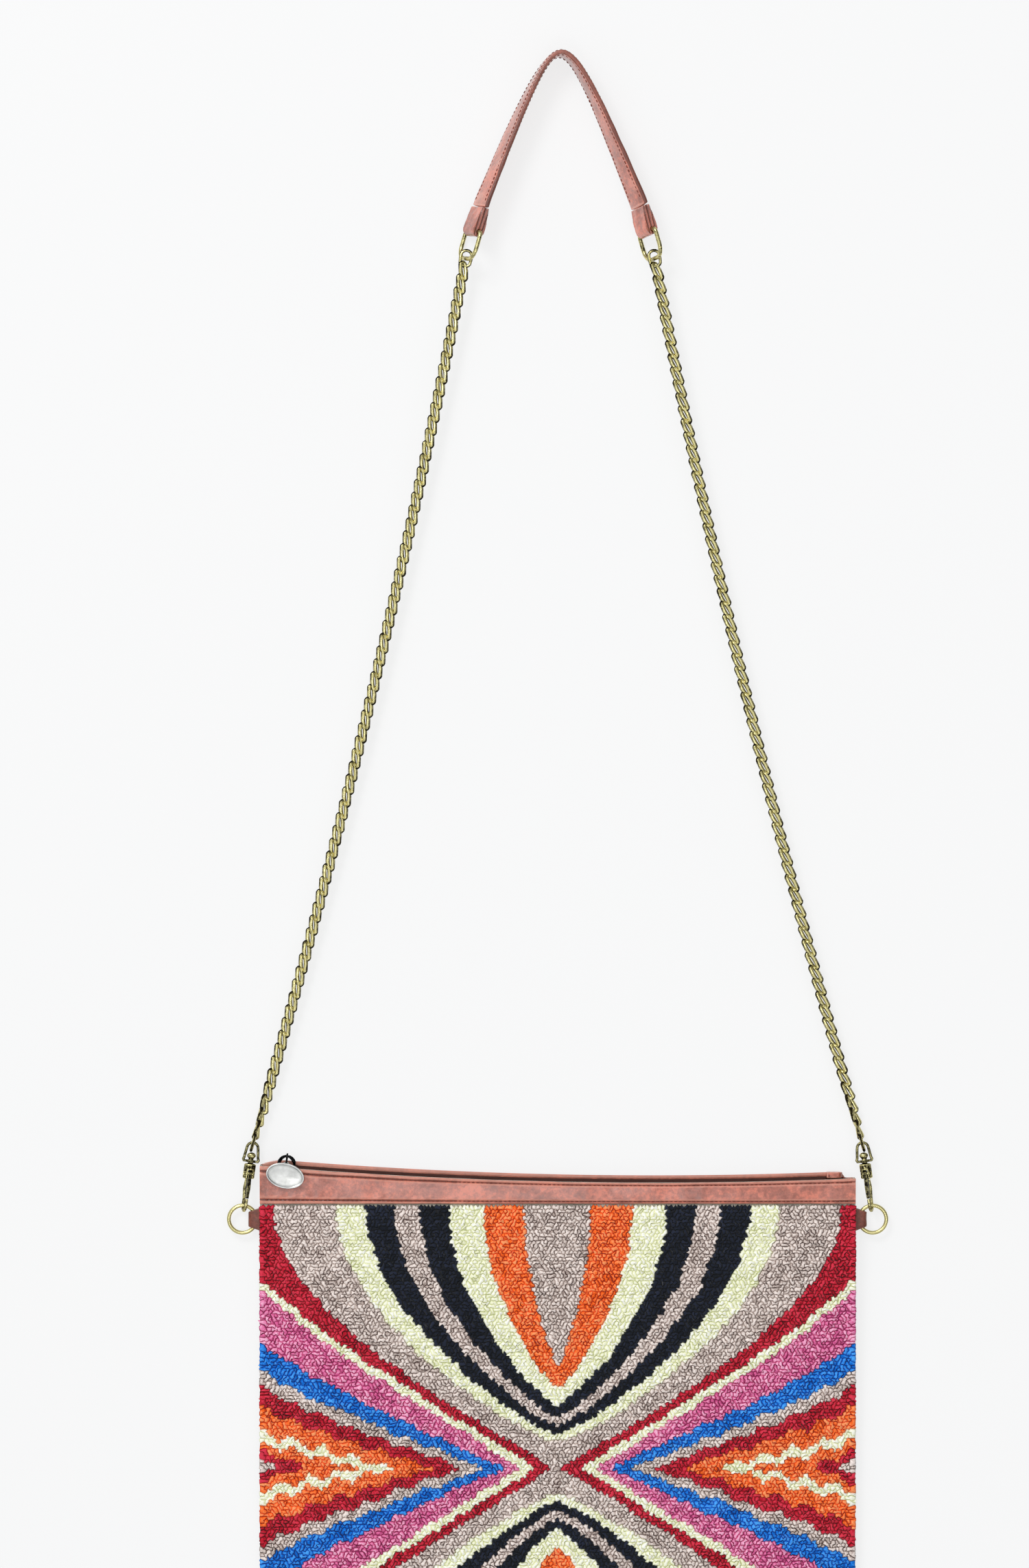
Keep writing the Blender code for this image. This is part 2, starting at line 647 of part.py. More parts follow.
def build_zip(parts):
    """Tapes, coils, stops and the leather tab over the zip's end."""
    inner = COIL_SPACING / 2
    for place, side in (("front", 1), ("rear", -1)):
        near = ZIP_Z + side * (inner + COIL_WIDTH + GAP)
        wall = ZIP_Z + side * (TAPE_HALF_WIDTH - TAPE_THICKNESS / 2)
        corners = [(COIL_RISE, near), (COIL_RISE, wall), (COIL_RISE - TAPE_LEG, wall)]
        zip_strip(f"zip_tape_{place}", corners, -TAPE_END, TAPE_END, TAPE_THICKNESS, parts, "zip")
        middle = ZIP_Z + side * (inner + COIL_WIDTH / 2)
        reach = COIL_HEIGHT / 2
        corners = [(COIL_RISE - reach, middle), (COIL_RISE + reach, middle)]
        start = -TAPE_END + STOP_LENGTH + GAP
        zip_strip(f"zip_coil_{place}", corners, start, END_TAB_START, COIL_WIDTH, parts, "zip")
        stop_x = -TAPE_END + STOP_LENGTH / 2
        stop_y = mouth_line(stop_x, COIL_RISE)
        low = (stop_x - STOP_LENGTH / 2, stop_y - reach, middle - COIL_WIDTH / 2)
        high = (stop_x + STOP_LENGTH / 2, stop_y + reach, middle + COIL_WIDTH / 2)
        mesh = box(f"zip_top_stop_{place}", low, high)
        add_object(f"zip_top_stop_{place}", mesh, parts, ("black_metal", 0.4, 1.0))
    stop_x = END_TAB_START + GAP + STOP_LENGTH / 2
    stop_y = mouth_line(stop_x, COIL_RISE)
    reach = inner + COIL_WIDTH
    low = (stop_x - STOP_LENGTH / 2, stop_y - COIL_HEIGHT / 2, ZIP_Z - reach)
    high = (stop_x + STOP_LENGTH / 2, stop_y + COIL_HEIGHT / 2, ZIP_Z + reach)
    add_object("zip_bottom_stop", box("zip_bottom_stop", low, high), parts, ("black_metal", 0.4, 1.0))
    length = END_TAB_LENGTH
    radius = TAPE_HALF_WIDTH
    outline = [(0, -radius), (0, radius)] + arc((length - radius, 0), radius, 90, -90, 8)
    mesh = plate("zip_end_tab", [outline], END_TAB_THICKNESS)
    tab_y = mouth_line(TAPE_END, COIL_RISE) + COIL_HEIGHT / 2 + GAP + END_TAB_THICKNESS / 2
    turn = Matrix.Rotation(math.radians(90), 4, "X")
    mesh.transform(Matrix.Translation((END_TAB_START, tab_y, ZIP_Z)) @ turn)
    add_object("zip_end_tab", mesh, parts, ("leather", 0.5, 0.0))


def build_slider(parts, guides):
    """Slider on its arc, with the pull link on its bridge and the oval disc on the link."""
    radius = MOUTH_ARC_RADIUS - COIL_RISE
    turn = math.degrees(math.asin((SLIDER_X - MOUTH_LOW_POINT_X) / radius))
    centre = add_empty("zip_arc_centre", parts, (MOUTH_LOW_POINT_X, ARC_CENTRE_Y, ZIP_Z), (0, 0, turn))
    seat_point = Vector((0, -radius, 0))
    half = SLIDER_LENGTH / 2
    height = SLIDER_HALF_HEIGHT
    low = (-half, -height, -SLIDER_HALF_WIDTH)
    high = (half, height, SLIDER_HALF_WIDTH)
    slider = add_object("zip_slider", box("zip_slider", low, high), parts, ("black_metal", 0.35, 1.0))
    far = SLIDER_LENGTH
    channel = COIL_HEIGHT / 2 + GAP
    reach = COIL_SPACING / 2 + COIL_WIDTH + GAP
    slot = TAPE_THICKNESS / 2 + GAP
    post_side = SLIDER_POST / 2
    post_end = -half + SLIDER_POST_LENGTH
    cutters = [box("slider_throat", (post_end, -channel, -reach), (far, channel, reach))]
    for name, side in (("front", 1), ("rear", -1)):
        inner, outer = sorted((side * post_side, side * reach))
        cutters.append(box(f"slider_channel_{name}", (-far, -channel, inner), (far, channel, outer)))
        inner, outer = sorted((side * post_side, side * far))
        cutters.append(box(f"slider_slot_{name}", (-far, -slot, inner), (far, slot, outer)))
    foot = height - SLIDER_PLATE / 2
    outer = [(x, height + y * BRIDGE_RISE / half) for x, y in arc((0, 0), half, 0, 180, 10)]
    inner_half = half - BRIDGE_LEG
    inner_rise = BRIDGE_RISE - BRIDGE_BAR
    inner = [(x, height + y * inner_rise / inner_half) for x, y in arc((0, 0), inner_half, 180, 0, 8)]
    outline = [(half, foot)] + outer + [(-half, foot), (-inner_half, foot)] + inner + [(inner_half, foot)]
    bridge = add_object("slider_bridge", plate("slider_bridge", [outline], BRIDGE_WIDTH), guides)
    for mesh in cutters:
        cutter = add_object(mesh.name, mesh, guides)
        cutter.parent = centre
        cutter.location = seat_point
        cut(slider, cutter)
    bridge.parent = centre
    bridge.location = seat_point
    cut(slider, bridge, "UNION")
    slider.parent = centre
    slider.location = seat_point
    link = build_pull_link(centre, seat_point + Vector((0, height + BRIDGE_RISE - BRIDGE_BAR / 2, 0)), parts)
    build_pull_disc(centre, link, parts, guides)


def build_pull_link(centre, bridge_point, parts):
    """Wire loop round the slider's bridge, reaching out over the front band."""
    bend = LINK_HALF_WIDTH
    path = arc((0, 0), bend, 90, 270, 6) + arc((LINK_REACH, 0), bend, -90, 90, 6)
    mesh = wire("zip_pull_link", [(0, -across, along) for along, across in path], LINK_WIRE, True)
    mesh.transform(Matrix.Rotation(math.radians(LINK_DROOP), 4, "X"))
    link = add_object("zip_pull_link", mesh, parts, ("black_metal", 0.35, 1.0))
    link.parent = centre
    link.location = bridge_point
    return link


def build_pull_disc(centre, link, parts, guides):
    """Plain oval disc with a lug on its back, held by the end of the pull link."""
    oval = [(x * DISC_LENGTH / 2, y * DISC_HEIGHT / 2) for x, y in circle((0, 0), 1.0, OVAL_SIDES)]
    mesh = plate("zip_pull_disc", [oval], DISC_THICKNESS)
    turn = Matrix.Rotation(math.radians(DISC_TILT), 4, "Z")
    middle = (0, LUG_INSET - DISC_HEIGHT / 2, LUG_RADIUS + GAP + DISC_THICKNESS / 2)
    mesh.transform(Matrix.Translation(middle) @ turn)
    disc = add_object("zip_pull_disc", mesh, parts, ("silver", 0.3, 1.0))
    droop = math.radians(LINK_DROOP)
    root = middle[2] / math.cos(droop)
    outline = arc((0, 0), LUG_RADIUS, 180, 360, 8) + [(LUG_RADIUS, root), (-LUG_RADIUS, root)]
    mesh = plate("disc_lug", [outline, circle((0, 0), LUG_HOLE_RADIUS, 12)], LUG_WIDTH)
    mesh.transform(Matrix.Rotation(math.radians(90) + droop, 4, "X"))
    lug = add_object("disc_lug", mesh, guides)
    reach = LINK_REACH + LINK_HALF_WIDTH
    hold = link.location + Vector((0, -reach * math.sin(droop), reach * math.cos(droop)))
    for piece in (disc, lug):
        piece.parent = centre
        piece.location = hold
    cut(disc, lug, "UNION")


def build_side_rings(parts):
    """Leather side tabs with a ring held in each fold."""
    for name, side in SIDES:
        inner = SIDE_RING_WIRE / 2 + TAB_SLACK
        half = inner + TAB_LEATHER
        far = TAB_REACH - half
        outline = [(0, half), (0, -half)] + arc((far, 0), half, -90, 90, 8)
        near = TAB_POCKET_START + inner
        pocket = arc((far, 0), inner, -90, 90, 6) + arc((near, 0), inner, 90, 270, 6)
        mesh = plate(f"side_tab_{name}", [outline, pocket], TAB_HEIGHT)
        for vert in mesh.vertices:
            share = 1 - vert.co.x / TAB_REACH
            vert.co.z *= 1 + (TAB_ROOT_HEIGHT / TAB_HEIGHT - 1) * share
        turn = Matrix(((side, 0, 0, 0), (0, 0, 1, 0), (0, 1, 0, 0), (0, 0, 0, 1)))
        mesh.transform(Matrix.Translation((side * TAB_X, SIDE_RING_Y, SIDE_RING_Z)) @ turn)
        bm = bmesh.new()
        bm.from_mesh(mesh)
        mesh = bmesh_to_mesh(f"side_tab_{name}", bm)
        add_object(f"side_tab_{name}", mesh, parts, ("leather", 0.5, 0.0))
        ring = circle((side * SIDE_RING_X, SIDE_RING_Y), SIDE_RING_RADIUS, SIDE_RING_SIDES)
        points = [(*point, SIDE_RING_Z) for point in ring]
        mesh = wire(f"side_ring_{name}", points, SIDE_RING_WIRE, True)
        ring = add_object(f"side_ring_{name}", mesh, parts, ("antique_brass", 0.35, 1.0))
        seat(ring, None, (side * (SIDE_RING_X - SIDE_RING_RADIUS), SIDE_RING_Y, SIDE_RING_Z))


def hook_point(side, height):
    """World point on a hook's long axis at a height above its bow's lowest point."""
    tilt = math.radians(HOOK_TILT)
    wire_height = BOW_WIRE + SIDE_RING_WIRE / 2 + 2 * GAP
    rise = height - wire_height
    x = SIDE_RING_X - HOOK_ON_RING - rise * math.sin(tilt)
    return Vector((side * x, SWING_Y + rise * math.cos(tilt), HOOK_Z))


def build_hook(name, side, parts, guides, strap):
    """Snap hook: cast body with ball head, sprung gate on its pin, leaf spring, swivel eye."""
    start = hook_point(side, 0) - strap.location
    axis = add_empty(f"hook_axis_{name}", parts, start, (0, side * -HOOK_ROLL, side * HOOK_TILT), strap)
    brass = ("antique_brass", 0.35, 1.0)

    centre = BOW_WIRE / 2 + BOW_RADIUS
    nose = [(NOSE_TOP, BOW_RADIUS)]
    bend = [(centre - BOW_RADIUS * math.sin(math.radians(a)), BOW_RADIUS * math.cos(math.radians(a)))
            for a in range(0, 181, 20)]
    back = [(BOW_SHOULDER, -BOW_RADIUS), (BARREL_BOTTOM + BARREL_EDGE, -BARREL_RADIUS + BOW_WIRE / 2)]
    back.append((BARREL_BOTTOM + BOW_IN_BARREL, -BARREL_RADIUS + BOW_WIRE / 2))
    path = [(0, y, z) for y, z in nose + bend + back]
    bow = add_object(f"hook_bow_{name}", wire(f"hook_bow_{name}", path, BOW_WIRE), guides)
    neck_end = BARREL_TOP + EYE_BOSS_HEIGHT + 4 * GAP
    profile = [(0, BARREL_BOTTOM), (BARREL_RADIUS - BARREL_EDGE, BARREL_BOTTOM)]
    profile += [(BARREL_RADIUS, BARREL_BOTTOM + BARREL_EDGE), (BARREL_RADIUS, BARREL_TOP - BARREL_EDGE)]
    profile += [(BARREL_RADIUS - BARREL_EDGE, BARREL_TOP), (NECK_RADIUS, BARREL_TOP), (NECK_RADIUS, neck_end)]
    head = neck_end + BALL_RADIUS * math.cos(math.asin(NECK_RADIUS / BALL_RADIUS))
    for angle in BALL_RINGS:
        spot = math.radians(angle)
        profile.append((BALL_RADIUS * math.cos(spot), head + BALL_RADIUS * math.sin(spot)))
    profile.append((0, head + BALL_RADIUS))
    bm = bmesh.new()
    verts = [bm.verts.new((radius, height, 0)) for radius, height in profile]
    edges = [bm.edges.new(pair) for pair in zip(verts, verts[1:])]
    bmesh.ops.spin(bm, geom=verts + edges, cent=(0, 0, 0), axis=(0, 1, 0), angle=math.tau, steps=12)
    bmesh.ops.remove_doubles(bm, verts=bm.verts, dist=WELD_DISTANCE)
    body = add_object(f"hook_body_{name}", bmesh_to_mesh(f"hook_body_{name}", bm), parts, brass)
    body.parent = axis
    slot_half = GATE_THICKNESS / 2 + GAP
    low = (-slot_half, BARREL_BOTTOM - BOW_WIRE, -SLOT_BACK)
    slot = box("slot", low, (slot_half, SLOT_TOP, 2 * BARREL_RADIUS))
    slot = add_object(f"hook_slot_{name}", slot, guides)
    pin_spot = Vector((0, GATE_PIN_HEIGHT, GATE_PIN_OFFSET))
    bore = cylinder("bore", GATE_PIN_RADIUS + PIN_GAP, CUTTER_REACH * BARREL_RADIUS, (1, 0, 0), pin_spot)
    bore = add_object(f"hook_bore_{name}", bore, guides)
    for guide, operation in ((bow, "UNION"), (slot, "DIFFERENCE"), (bore, "DIFFERENCE")):
        guide.parent = axis
        cut(body, guide, operation)

    nose_gap = GATE_PIN_HEIGHT - NOSE_TOP - GAP
    tip = BOW_RADIUS - GATE_PIN_OFFSET
    bar = GATE_BAR / 2
    outline = arc((0, 0), GATE_EYE_RADIUS, -GATE_EYE_WRAP, GATE_EYE_WRAP, 10)
    outline += [(-nose_gap, tip + bar), (-nose_gap, tip - bar)]
    hole = circle((0, 0), GATE_PIN_RADIUS + PIN_GAP, 10)
    mesh = plate(f"hook_gate_{name}", [outline, hole], GATE_THICKNESS)
    mesh.transform(YZ_PLANE)
    gate = add_object(f"hook_gate_{name}", mesh, parts, brass)
    gate.parent = axis
    gate.location = pin_spot
    mesh = cylinder(f"gate_pin_{name}", GATE_PIN_RADIUS, GATE_PIN_LENGTH, (1, 0, 0), (0, 0, 0))
    pin = add_object(f"gate_pin_{name}", mesh, parts, brass)
    pin.parent = axis
    pin.location = pin_spot
    leaf_z = -SLOT_BACK + PIN_GAP + SPRING_LEAF
    low = (-SPRING_WIDTH / 2, SLOT_TOP - GAP - SPRING_LENGTH, leaf_z - SPRING_LEAF)
    mesh = box(f"gate_spring_{name}", low, (SPRING_WIDTH / 2, SLOT_TOP - GAP, leaf_z))
    spring = add_object(f"gate_spring_{name}", mesh, parts, ("silver", 0.3, 1.0))
    spring.parent = axis

    base = add_empty(f"eye_axis_{name}", parts, start, (0, 0, side * HOOK_TILT), strap)
    foot = BARREL_TOP + 2 * GAP + EYE_BOSS_HEIGHT / 2
    arch = foot + EYE_HEIGHT - EYE_ARCH_RADIUS
    ring = [(-EYE_HALF_WIDTH, foot), (EYE_HALF_WIDTH, foot)]
    ring += [(EYE_HALF_WIDTH + EYE_WIRE / 4, foot + EYE_WIRE / 2), (EYE_HALF_WIDTH, foot + EYE_WIRE)]
    ring += arc((0, arch), EYE_ARCH_RADIUS, 0, 180, 8)
    ring += [(-EYE_HALF_WIDTH, foot + EYE_WIRE), (-EYE_HALF_WIDTH - EYE_WIRE / 4, foot + EYE_WIRE / 2)]
    mesh = wire(f"swivel_eye_{name}", [(x, y, 0) for x, y in ring], EYE_WIRE, True)
    eye_ring = add_object(f"swivel_eye_{name}", mesh, parts, brass)
    eye_ring.parent = base
    boss = cylinder("boss", EYE_BOSS_RADIUS, EYE_BOSS_HEIGHT, (0, 1, 0), (0, foot, 0))
    boss = add_object(f"eye_boss_{name}", boss, guides)
    hole = cylinder("hole", NECK_RADIUS + GAP, CUTTER_REACH * EYE_BOSS_HEIGHT, (0, 1, 0), (0, foot, 0))
    hole = add_object(f"eye_hole_{name}", hole, guides)
    for guide, operation in ((boss, "UNION"), (hole, "DIFFERENCE")):
        guide.parent = base
        cut(eye_ring, guide, operation)
    return hook_point(side, foot + EYE_HEIGHT)


def pad_point(station):
    """Point of the pad's middle line; station runs from -1 at the left end to 1 at the right end."""
    spread = PAD_HALF_SPREAD * math.copysign(abs(station) ** PAD_SPREAD_POWER, station)
    drop = math.sqrt((PAD_STEEPNESS * spread) ** 2 + PAD_APEX_ROUND ** 2) - PAD_APEX_ROUND
    return Vector((spread + STRAP_LEAN, PAD_APEX_Y - drop, PAD_CENTRE_Z))


def loop_frame(side):
    """Frame at a pad end: X along the strap away from the pad, Y across it, Z along the pad's width."""
    tilt = math.radians(LOOP_TILT)
    along = Vector((side * math.sin(tilt), -math.cos(tilt), 0))
    width = Matrix.Rotation(-math.radians(PAD_END_TWIST), 3, along) @ Vector((0, 0, 1))
    across = width.cross(along)
    start = pad_point(side) + along * PAD_TO_LOOP
    frame = Matrix((along, across, width)).transposed().to_4x4()
    return Matrix.Translation(start) @ frame


def build_pad(parts, strap):
    """Leather shoulder pad, standing on its edge and leaning to the right towards both its ends."""
    def spot(column, row):
        station = 2 * column / PAD_STEPS - 1
        ahead = pad_point(min(1, station + SLOPE_STEP)) - pad_point(max(-1, station - SLOPE_STEP))
        twist = -math.radians(PAD_END_TWIST) * station
        turn = Matrix.Rotation(twist, 3, ahead.normalized())
        return pad_point(station) + turn @ Vector((0, 0, PAD_WIDTH * (row / 2 - 0.5)))

    mesh = sheet("shoulder_pad", PAD_STEPS, 2, spot)
    pad = add_object("shoulder_pad", mesh, parts, ("leather", 0.5, 0.0))
    thicken(pad, PAD_THICKNESS, 0)
    pad.parent = strap
    mesh.transform(Matrix.Translation(-strap.location))


def build_upper_rings(parts, strap):
    """Folded leather loops at the pad's ends, each with a ring in its fold."""
    hold = {}
    pocket = UPPER_RING_WIRE / 2 + GAP
    bar = LOOP_LENGTH - LOOP_END_WALL - pocket
    for name, side in SIDES:
        frame = loop_frame(side)
        half = LOOP_THICKNESS / 2
        root = PAD_THICKNESS / 2
        outline = [(0, root), (0, -root)] + arc((LOOP_LENGTH - half, 0), half, -90, 90, 8)
        mesh = plate(f"pad_loop_{name}", [outline, circle((bar, 0), pocket, 10)], LOOP_WIDTH)
        mesh.transform(Matrix.Translation(-strap.location) @ frame)
        loop = add_object(f"pad_loop_{name}", mesh, parts, ("leather", 0.5, 0.0))
        loop.parent = strap
        wide = UPPER_RING_WIDTH / 2 - UPPER_RING_WIRE / 2
        corner = UPPER_RING_CORNER
        bend = UPPER_RING_ROUND
        length = UPPER_RING_LENGTH
        path = arc((corner, -wide + corner), corner, 180, 270, 3)
        path += arc((length - bend, -wide + bend), bend, 270, 360, 5)
        path += arc((length - bend, wide - bend), bend, 0, 90, 5)
        path += arc((corner, wide - corner), corner, 90, 180, 3)
        mesh = wire(f"upper_ring_{name}", [(x, 0, z) for x, z in path], UPPER_RING_WIRE, True)
        start = frame @ Vector((bar, 0, 0))
        turn = Matrix.Translation(start) @ frame.to_3x3().to_4x4()
        mesh.transform(turn)
        ring = add_object(f"upper_ring_{name}", mesh, parts, ("antique_brass", 0.35, 1.0))
        seat(ring, strap, start)
        hold[name] = turn @ Vector((length, 0, 0))
    return hold


def build_chain(name, side, low, high, parts, strap):
    """Curb chain, its links fused into one strip that bows inward and turns on edge at its lower end."""
    distance = (high - low).length
    count = max(2, round(distance / CHAIN_PITCH))
    pitch = distance / count
    total = distance + pitch
    half = CHAIN_LINK_WIDTH / 2
    waist = CHAIN_WAIST / 2
    edge = [(CHAIN_NOSE_WIDTH / 2, 0)]
    holes = []
    for index in range(count + 1):
        middle = pitch * (index + 0.5)
        end = index in (0, count)
        edge.append((CHAIN_END_WIDTH / 2 if end else half, middle))
        if index < count:
            edge.append((waist, middle + pitch / 2))
        if end:
            reach = UPPER_RING_WIRE / 2 + 2 * GAP
            stretch = CHAIN_END_HOLE / (2 * reach)
            ring = circle((0, 0), reach, 8)
            holes.append([(x * stretch, middle + y) for x, y in ring])
        else:
            reach = pitch * CHAIN_HOLE_SHARE / 2
            wide = CHAIN_HOLE_WIDTH / 2
            holes.append([(wide, middle), (0, middle + reach), (-wide, middle), (0, middle - reach)])
    edge.append((CHAIN_NOSE_WIDTH / 2, total))
    outline = edge + [(-x, y) for x, y in reversed(edge)]
    mesh = plate(f"chain_{name}", [outline] + holes, CHAIN_THICKNESS)

    def middle_line(share):
        bow = CHAIN_BOW * 4 * share * (1 - share)
        return low.lerp(high, share) - Vector((side * bow, 0, 0))

    for vert in mesh.vertices:
        share = (vert.co.y - pitch / 2) / distance
        ahead = (middle_line(share + SLOPE_STEP) - middle_line(share - SLOPE_STEP)).normalized()
        across = ahead.cross(Vector((0, 0, 1))).normalized()
        up = across.cross(ahead)
        near = max(0.0, 1 - max(0.0, share) / CHAIN_TWIST_SHARE)
        angle = math.radians(CHAIN_TWIST) * near
        flat = across * math.cos(angle) + up * math.sin(angle)
        thick = up * math.cos(angle) - across * math.sin(angle)
        vert.co = middle_line(share) + flat * vert.co.x + thick * vert.co.z - strap.location
    bm = bmesh.new()
    bm.from_mesh(mesh)
    mesh = bmesh_to_mesh(f"chain_{name}", bm)
    chain = add_object(f"chain_{name}", mesh, parts, ("antique_brass", 0.35, 1.0))
    chain.parent = strap


def build_strap(parts, guides):
    """The whole strap, hung on an axis through both side rings."""
    strap = add_empty("strap_hinge", parts, (0, SWING_Y, SIDE_RING_Z))
    hold = build_upper_rings(parts, strap)
    build_pad(parts, strap)
    for name, side in SIDES:
        low = build_hook(name, side, parts, guides, strap)
        build_chain(name, side, low, hold[name], parts, strap)


def main():
    """Build the bag."""
    for obj in list(bpy.data.objects):
        bpy.data.objects.remove(obj)
    parts = make_collection("clutch_bag")
    guides = make_collection("cutters")
    build_bag_cloth(parts)
    build_pile(parts)
    build_bands(parts)
    build_zip(parts)
    build_slider(parts, guides)
    build_side_rings(parts)
    build_strap(parts, guides)


main()
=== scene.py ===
"""Dressed model of a flat zip clutch bag: looped yarn front, leather mouth bands, detachable chain strap."""
import math
import random

import bpy
from bpy.props import FloatProperty, FloatVectorProperty, IntProperty, PointerProperty
from mathutils import Matrix, Vector, noise


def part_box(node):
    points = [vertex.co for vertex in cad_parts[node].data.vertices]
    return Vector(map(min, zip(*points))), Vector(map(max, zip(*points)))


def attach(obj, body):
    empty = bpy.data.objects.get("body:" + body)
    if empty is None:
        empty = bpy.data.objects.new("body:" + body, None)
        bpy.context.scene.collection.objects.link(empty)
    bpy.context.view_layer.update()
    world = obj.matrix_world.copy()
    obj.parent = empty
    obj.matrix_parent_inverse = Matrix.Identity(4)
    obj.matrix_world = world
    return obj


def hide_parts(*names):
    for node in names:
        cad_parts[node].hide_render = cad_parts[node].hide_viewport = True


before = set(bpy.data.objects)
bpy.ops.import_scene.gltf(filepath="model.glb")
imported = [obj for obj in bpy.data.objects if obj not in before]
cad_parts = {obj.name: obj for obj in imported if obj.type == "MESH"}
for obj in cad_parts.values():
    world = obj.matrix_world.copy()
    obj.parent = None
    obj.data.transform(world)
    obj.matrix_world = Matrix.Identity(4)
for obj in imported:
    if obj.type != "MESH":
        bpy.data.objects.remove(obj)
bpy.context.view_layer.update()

bl_info = {
    "name": "Chain Strap Clutch Bag",
    "version": (1, 0, 0),
    "blender": (4, 5, 0),
    "location": "View3D > Sidebar > Clutch Bag",
    "description": "Builds a looped-yarn clutch bag with leather bands, zip and chain strap over its frame",
    "category": "Add Mesh",
}

MM = 0.001
SIDES = (("left", -1), ("right", 1))

# Places that the frame's own source gives, repeated here in metres
HALF_WIDTH = 152.5 * MM
BAG_LOW = -143 * MM
BACK_TOP = 1.2 * MM
ZIP_Z = 5.25 * MM
BAND_LOW = 126.4 * MM
FIELD_TOP = 126.0 * MM
FIELD_CENTRE = -8.5 * MM
FIELD_HALF = 134.5 * MM
ZIP_RISE = -0.9 * MM
ZIP_START = -144.2 * MM
END_TAB_START = 137.9 * MM
RING_X = 161.6 * MM
RING_Y = 118 * MM
RING_Z = 4.2 * MM
PAD_TWIST = 25
LOOP_TILT = 16
CHAIN_FOOT = 36.1 * MM
CHAIN_BOW = 5.5 * MM
UPPER_RING_REACH = 27.2 * MM
PULL_PIVOT = Vector((-138.92, 146.71, 11.75)) * MM
MOUTH_RADIUS = 2350 * MM
MOUTH_CENTRE_X = 50 * MM
MOUTH_CENTRE_Y = 2487.1 * MM
HOOK_TILT = math.radians(8)
HOOK_HOLD_X = 160.6 * MM
HOOK_HOLD_Y = 124.928 * MM
HOOK_HOLD_Z = 5 * MM
HOOK_BOW = 3.4 * MM
PAD_HALF_SPREAD = 40.5 * MM
PAD_STEEPNESS = 2.64
PAD_BEND = 35 * MM
PAD_MIDDLE_X = 1.3 * MM
PAD_TOP_Y = 715 * MM
PAD_Z = 10.4 * MM

# Sizes of the dressed pieces: the bag's height at its side seam and how much fuller it is at the mouth and in
# the belly, its canvas, the band's two seams as shares of its width, the yarn under its loops, and the
# pad's width
SIDE_SEAM = 4.2 * MM
MOUTH_FULLNESS = 5.4 * MM
BELLY_FULLNESS = 7 * MM
CANVAS = 1 * MM
SEAM_LOW = 0.105
SEAM_HIGH = 0.865
YARN_BACKING = 1.35 * MM
PAD_WIDTH = 17.2 * MM

# The photograph's frame, at the height of the bag's front
FRONT_Z = 8 * MM
VIEW_X = -22.1 * MM
VIEW_Y = 341.2 * MM
VIEW_HEIGHT = 803.3 * MM

# Scale of Blender's wave texture at which a band is one unit wide
WAVE = 0.314


# Sizes and colours

def linear(code):
    """Linear colour of an sRGB hex code."""
    values = [int(code[place:place + 2], 16) / 255 for place in (1, 3, 5)]
    return [value / 12.92 if value <= 0.04045 else ((value + 0.055) / 1.055) ** 2.4 for value in values]


def length(name, description, millimetres):
    """Property for a length, given in millimetres."""
    return FloatProperty(name=name, description=description, default=millimetres * MM, unit="LENGTH",
                         precision=5)


def paint(name, description, code):
    """Property for a colour, given as an sRGB hex code."""
    return FloatVectorProperty(name=name, description=description, default=linear(code), subtype="COLOR",
                               size=3, min=0, max=1)


class ClutchSizes(bpy.types.PropertyGroup):
    """Sizes of the bag's fine detail."""
    loop_spacing: length("Yarn loop", "Distance between neighbouring yarn loops", 2.0)
    loop_relief: length("Loop relief", "How far a yarn loop rises out of the crevices round it", 0.85)
    stitch_pitch: length("Stitch pitch", "Distance from one stitch to the next", 2.3)
    stitch_length: length("Stitch length", "Visible length of one stitch", 1.7)
    stitch_width: length("Stitch width", "Thickness of the sewing thread", 0.6)
    link_pitch: length("Link pitch", "Distance from one chain link to the next", 6.8)
    link_wire: length("Link wire", "Thickness of the chain's wire", 2.3)
    link_width: length("Link width", "Width of one chain link", 5.0)
    link_twist: FloatProperty(name="Link twist", description="Turn of one end of a link against the other",
                              default=math.radians(85), subtype="ANGLE")
    link_lean: FloatProperty(name="Link lean", description="Turn of each link out of the chain's line",
                             default=math.radians(17), subtype="ANGLE")
    coil_pitch: length("Coil pitch", "Distance between two teeth of the zip's coil", 1.5)
    camera_height: length("Camera height", "Height of the camera above the floor", 3000)
    seed: IntProperty(name="Seed", description="Start of the random choices of yarn and chain", default=11)


class ClutchColours(bpy.types.PropertyGroup):
    """Colours of the bag's materials."""
    leather: paint("Leather", "Tanned leather of the bands, pad and tabs", "#B26755")
    taupe: paint("Taupe yarn", "Mottled grey-pink yarn", "#C3B2A9")
    cream: paint("Cream yarn", "Pale lime-cream yarn", "#F6F6D4")
    black: paint("Black yarn", "Blue-black yarn", "#131822")
    orange: paint("Orange yarn", "Bright orange yarn", "#FF6A1E")
    red: paint("Red yarn", "Deep red yarn", "#BC1229")
    pink: paint("Pink yarn", "Rose yarn", "#E2649C")
    blue: paint("Blue yarn", "Strong blue yarn", "#0070D8")
    brass: paint("Antique brass", "Plated metal of chain, rings and hooks", "#CDC38B")
    nickel: paint("Satin nickel", "Plated metal of the pull disc", "#BEBEBB")
    backdrop: paint("Backdrop", "Pale floor under the bag", "#F9F9F9")


# Materials

def feed(tree, node, inputs):
    """Set or link a node's inputs. A node given as a value stands for its first output."""
    for socket, value in inputs.items():
        if isinstance(value, bpy.types.Node):
            value = value.outputs[0]
        if isinstance(value, bpy.types.NodeSocket):
            tree.links.new(value, node.inputs[socket])
        else:
            node.inputs[socket].default_value = value


